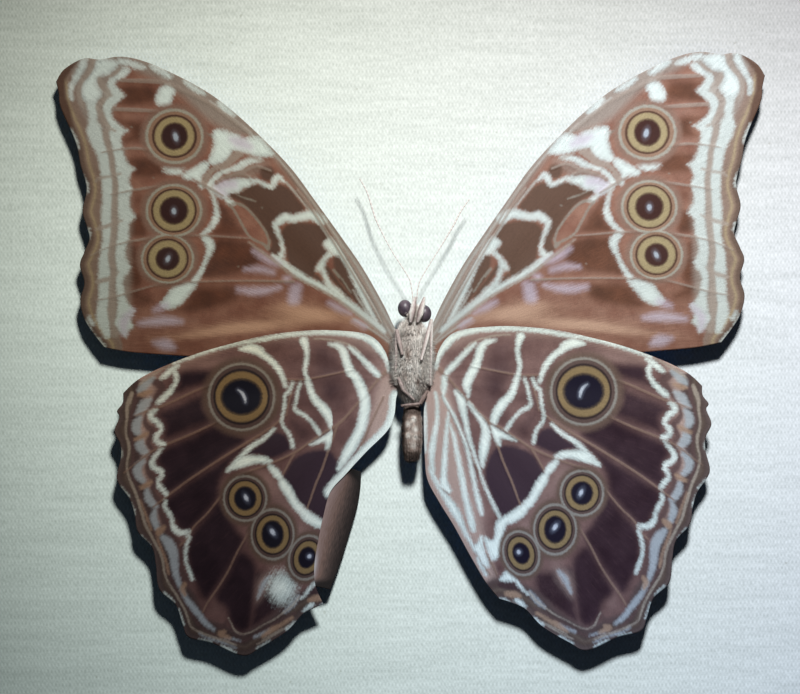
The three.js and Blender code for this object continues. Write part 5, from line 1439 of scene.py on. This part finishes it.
def limb(name, paths, slot, base, pale, hairs, steps=40, sides=16):
    """One or more tubes in a piece; base is its tone, and pale how much lighter it is towards +X."""
    bodies, tones = [], []
    for path, radii in paths:
        rings = tube(np.array(path) + [0, 0, LINEN_TOP], radii, steps, sides)
        offset = rings - rings.mean(1, keepdims=True)
        lit = offset[..., 0] / np.abs(offset[..., 0]).max()
        bodies.append(rings_body(rings))
        grain = rng.normal(0, 0.08, rings.shape[:2])
        tones.append(np.concatenate([(base + pale * lit + grain).ravel(), [base, base]]))
        pick = rng.integers(0, steps * sides, hairs)
        outward = (offset / np.linalg.norm(offset, axis=-1, keepdims=True)).reshape(-1, 3)[pick]
        along = np.gradient(rings.mean(1), axis=0)
        along = np.repeat(along / np.linalg.norm(along, axis=1, keepdims=True), sides, 0)[pick]
        roots = rings.reshape(-1, 3)[pick]
        bodies.append(spikes(roots, outward, rng.uniform(0.2, 0.4, hairs), along, 0.025))
        tone = np.clip(tones[-1][pick] + rng.normal(0, 0.1, hairs), 0, 1)
        tones.append(np.repeat(tone, SPIKE_POINTS))
    tone = np.clip(np.concatenate(tones), 0, 1)
    make_piece(name, *joined(*bodies), [scaled], name, slot, {"tone": tone})


PALP_RADII = [0.2, 0.5, 0.45, 0.14]
LEFT_PALP = [(-0.25, 5.6, 6.85), (-0.05, 6.8, 6.95), (0.25, 8.3, 6.8), (0.55, 9.9, 6.3)]
RIGHT_PALP = [(0.85, 5.6, 6.85), (1.25, 6.8, 6.95), (1.65, 8.3, 6.8), (2.05, 9.8, 6.3)]
limb("left_palp", [(LEFT_PALP, PALP_RADII)], "leg", 0.55, -0.45, 320)
limb("right_palp", [(RIGHT_PALP, PALP_RADII)], "leg", 0.55, 0.45, 320)

LEGS = {
    "right_middle_leg": (0.58, 0.3, [(1.5, -0.7, 7.6), (3.25, 6.1, 6), (3.05, -5, 5.85)]),
    "right_hind_leg": (0.1, -0.1, [(2.5, -5.9, 5.9), (1.3, -8, 6.45), (-1.8, -8.3, 6.35)]),
    "left_middle_leg": (0.35, -0.1, [(-1.6, 0.2, 7.4), (-2.6, 4.4, 6.05), (-2.75, -2.8, 6)]),
    "left_hind_leg": (0.35, 0.15, [(-2.3, -3.6, 6.5), (-1.5, -5.6, 6.6), (0.3, -7.3, 6.3)]),
}
THIGH_RADII, SHIN_RADII = [0.2, 0.36, 0.29], [0.29, 0.25, 0.18]
for name, (base, pale, (hip, knee, toe)) in LEGS.items():
    limb(name, [([hip, knee], THIGH_RADII), ([knee, toe], SHIN_RADII)], "leg", base, pale, 220)

antenna, tree, shader = new_material("antenna_rings", Roughness=0.6)
tone = add(tree, "Attribute", attribute_name="tone").outputs["Fac"]
shown = add(tree, "Mix", {0: tone, 6: colour("#cdbfb9"), 7: colour("#e6dfda")}, data_type="RGBA").outputs[2]
tree.links.new(shown, shader.inputs["Base Color"])
ANTENNA_RADII = [0.1, 0.09, 0.09, 0.15, 0.09]
ANTENNA_STEPS, ANTENNA_SIDES = 240, 10
HALF_RINGS = 60
ANTENNAE = {
    "left_antenna": [
        (0.15, 9.3, 4.6), (-0.07, 11.2, 4.7), (-0.6, 13.2, 4.7), (-3.5, 17.8, 4.6), (-5.9, 22.5, 4.5),
        (-6.8, 25.2, 4.4), (-7.6, 27.6, 4.4), (-8.8, 29.8, 4.3),
    ],
    "right_antenna": [
        (0.8, 9.3, 4.6), (1, 11.4, 4.7), (1.75, 13.4, 4.7), (4.6, 18, 4.6), (6.9, 21.8, 4.5),
        (8.1, 24.1, 4.4), (9.6, 26.3, 4.3),
    ],
}


def notched(share):
    """What a share of the length leaves of an antenna's radius: less in a notch at each ring."""
    return 1 - 0.16 * (np.sin(share * np.pi * HALF_RINGS) > 0.7)


bands = 0.5 + 0.5 * np.sin(np.linspace(0, HALF_RINGS * np.pi, ANTENNA_STEPS + 1))
bands = np.append(np.repeat(bands, ANTENNA_SIDES), [0.5, 0.5])
for name, path in ANTENNAE.items():
    path = np.array(path) + [0, 0, LINEN_TOP]
    points, faces = rings_body(tube(path, ANTENNA_RADII, ANTENNA_STEPS, ANTENNA_SIDES, notched))
    make_piece(name, points, faces, [antenna], name, "antenna", {"tone": bands})

# %% [markdown]
# The picture was taken from straight above with one compact lamp over the top edge and almost no other
# light, so every wing throws a dark shadow a few millimetres below itself on the cloth. A wide soft panel
# over the whole scene lights the pale floor alone, so the shadows on the linen stay that deep.

# %% Floor, camera and light
FLOOR_HALF = 3.0
CAMERA_PLACE = (-0.00202, 0.00151, 0.3462)
LAMP_PLACE, LAMP_AIM = (0.033, 0.192, 0.253), (0.106, -0.0544, 0.006)
LAMP_TURN, LAMP_SQUEEZE = 0.975, 0.439
PANEL_PLACE = (0, 0, 1.5)
floor_material, *_ = new_material("floor", Base_Color=colour("#d9d8d3"), Roughness=0.9)
corners = FLOOR_HALF * np.array([[-1, -1, 0], [1, -1, 0], [1, 1, 0], [-1, 1, 0]])
floor_mesh = bpy.data.meshes.new("floor")
floor_mesh.from_pydata(corners.tolist(), [], [(0, 1, 2, 3)])
floor_mesh.materials.append(floor_material)
floor = put("floor", floor_mesh)

scene = bpy.context.scene
lens = bpy.data.cameras.new("camera")
lens.lens = 90
lens.sensor_width = 36
scene.camera = put("camera", lens, CAMERA_PLACE)

# The lamp's cone is squeezed to an oval, which is turned about the beam by LAMP_TURN.
lamp_data = bpy.data.lights.new("lamp", "SPOT")
lamp_data.shadow_soft_size = 0.022
lamp_data.energy = 6.95
lamp_data.color = (0.98, 1.0, 0.985)
lamp_data.spot_size = np.radians(87.9)
lamp_data.spot_blend = 1.0
lamp = put("lamp", lamp_data, LAMP_PLACE)
beam = np.array(LAMP_AIM) - np.array(lamp.location)
beam /= np.linalg.norm(beam)
level = np.cross(beam, [0, 0, 1.0])
level /= np.linalg.norm(level)
rise = np.cross(level, beam)
cosine, sine = np.cos(LAMP_TURN), np.sin(LAMP_TURN)
axes = np.array([level * cosine + rise * sine, rise * cosine - level * sine, -beam])
lamp.rotation_euler = Matrix(axes.T.tolist()).to_euler()
lamp.scale = (LAMP_SQUEEZE, 1, 1)

panel_data = bpy.data.lights.new("panel", "AREA")
panel_data.shape = "DISK"
panel_data.size = 2.0
panel_data.energy = 12.0
panel = put("panel", panel_data, PANEL_PLACE)
panel.light_linking.receiver_collection = bpy.data.collections.new("lit_by_panel")
panel.light_linking.receiver_collection.objects.link(floor)

world = bpy.data.worlds.new("room")
world.use_nodes = True
room = world.node_tree.nodes["Background"].inputs
room["Color"].default_value = colour("#9fb2cc")
room["Strength"].default_value = 0.045
scene.world = world
scene.view_settings.view_transform = "Standard"
print("camera", CAMERA_PLACE, "lamp", LAMP_PLACE)
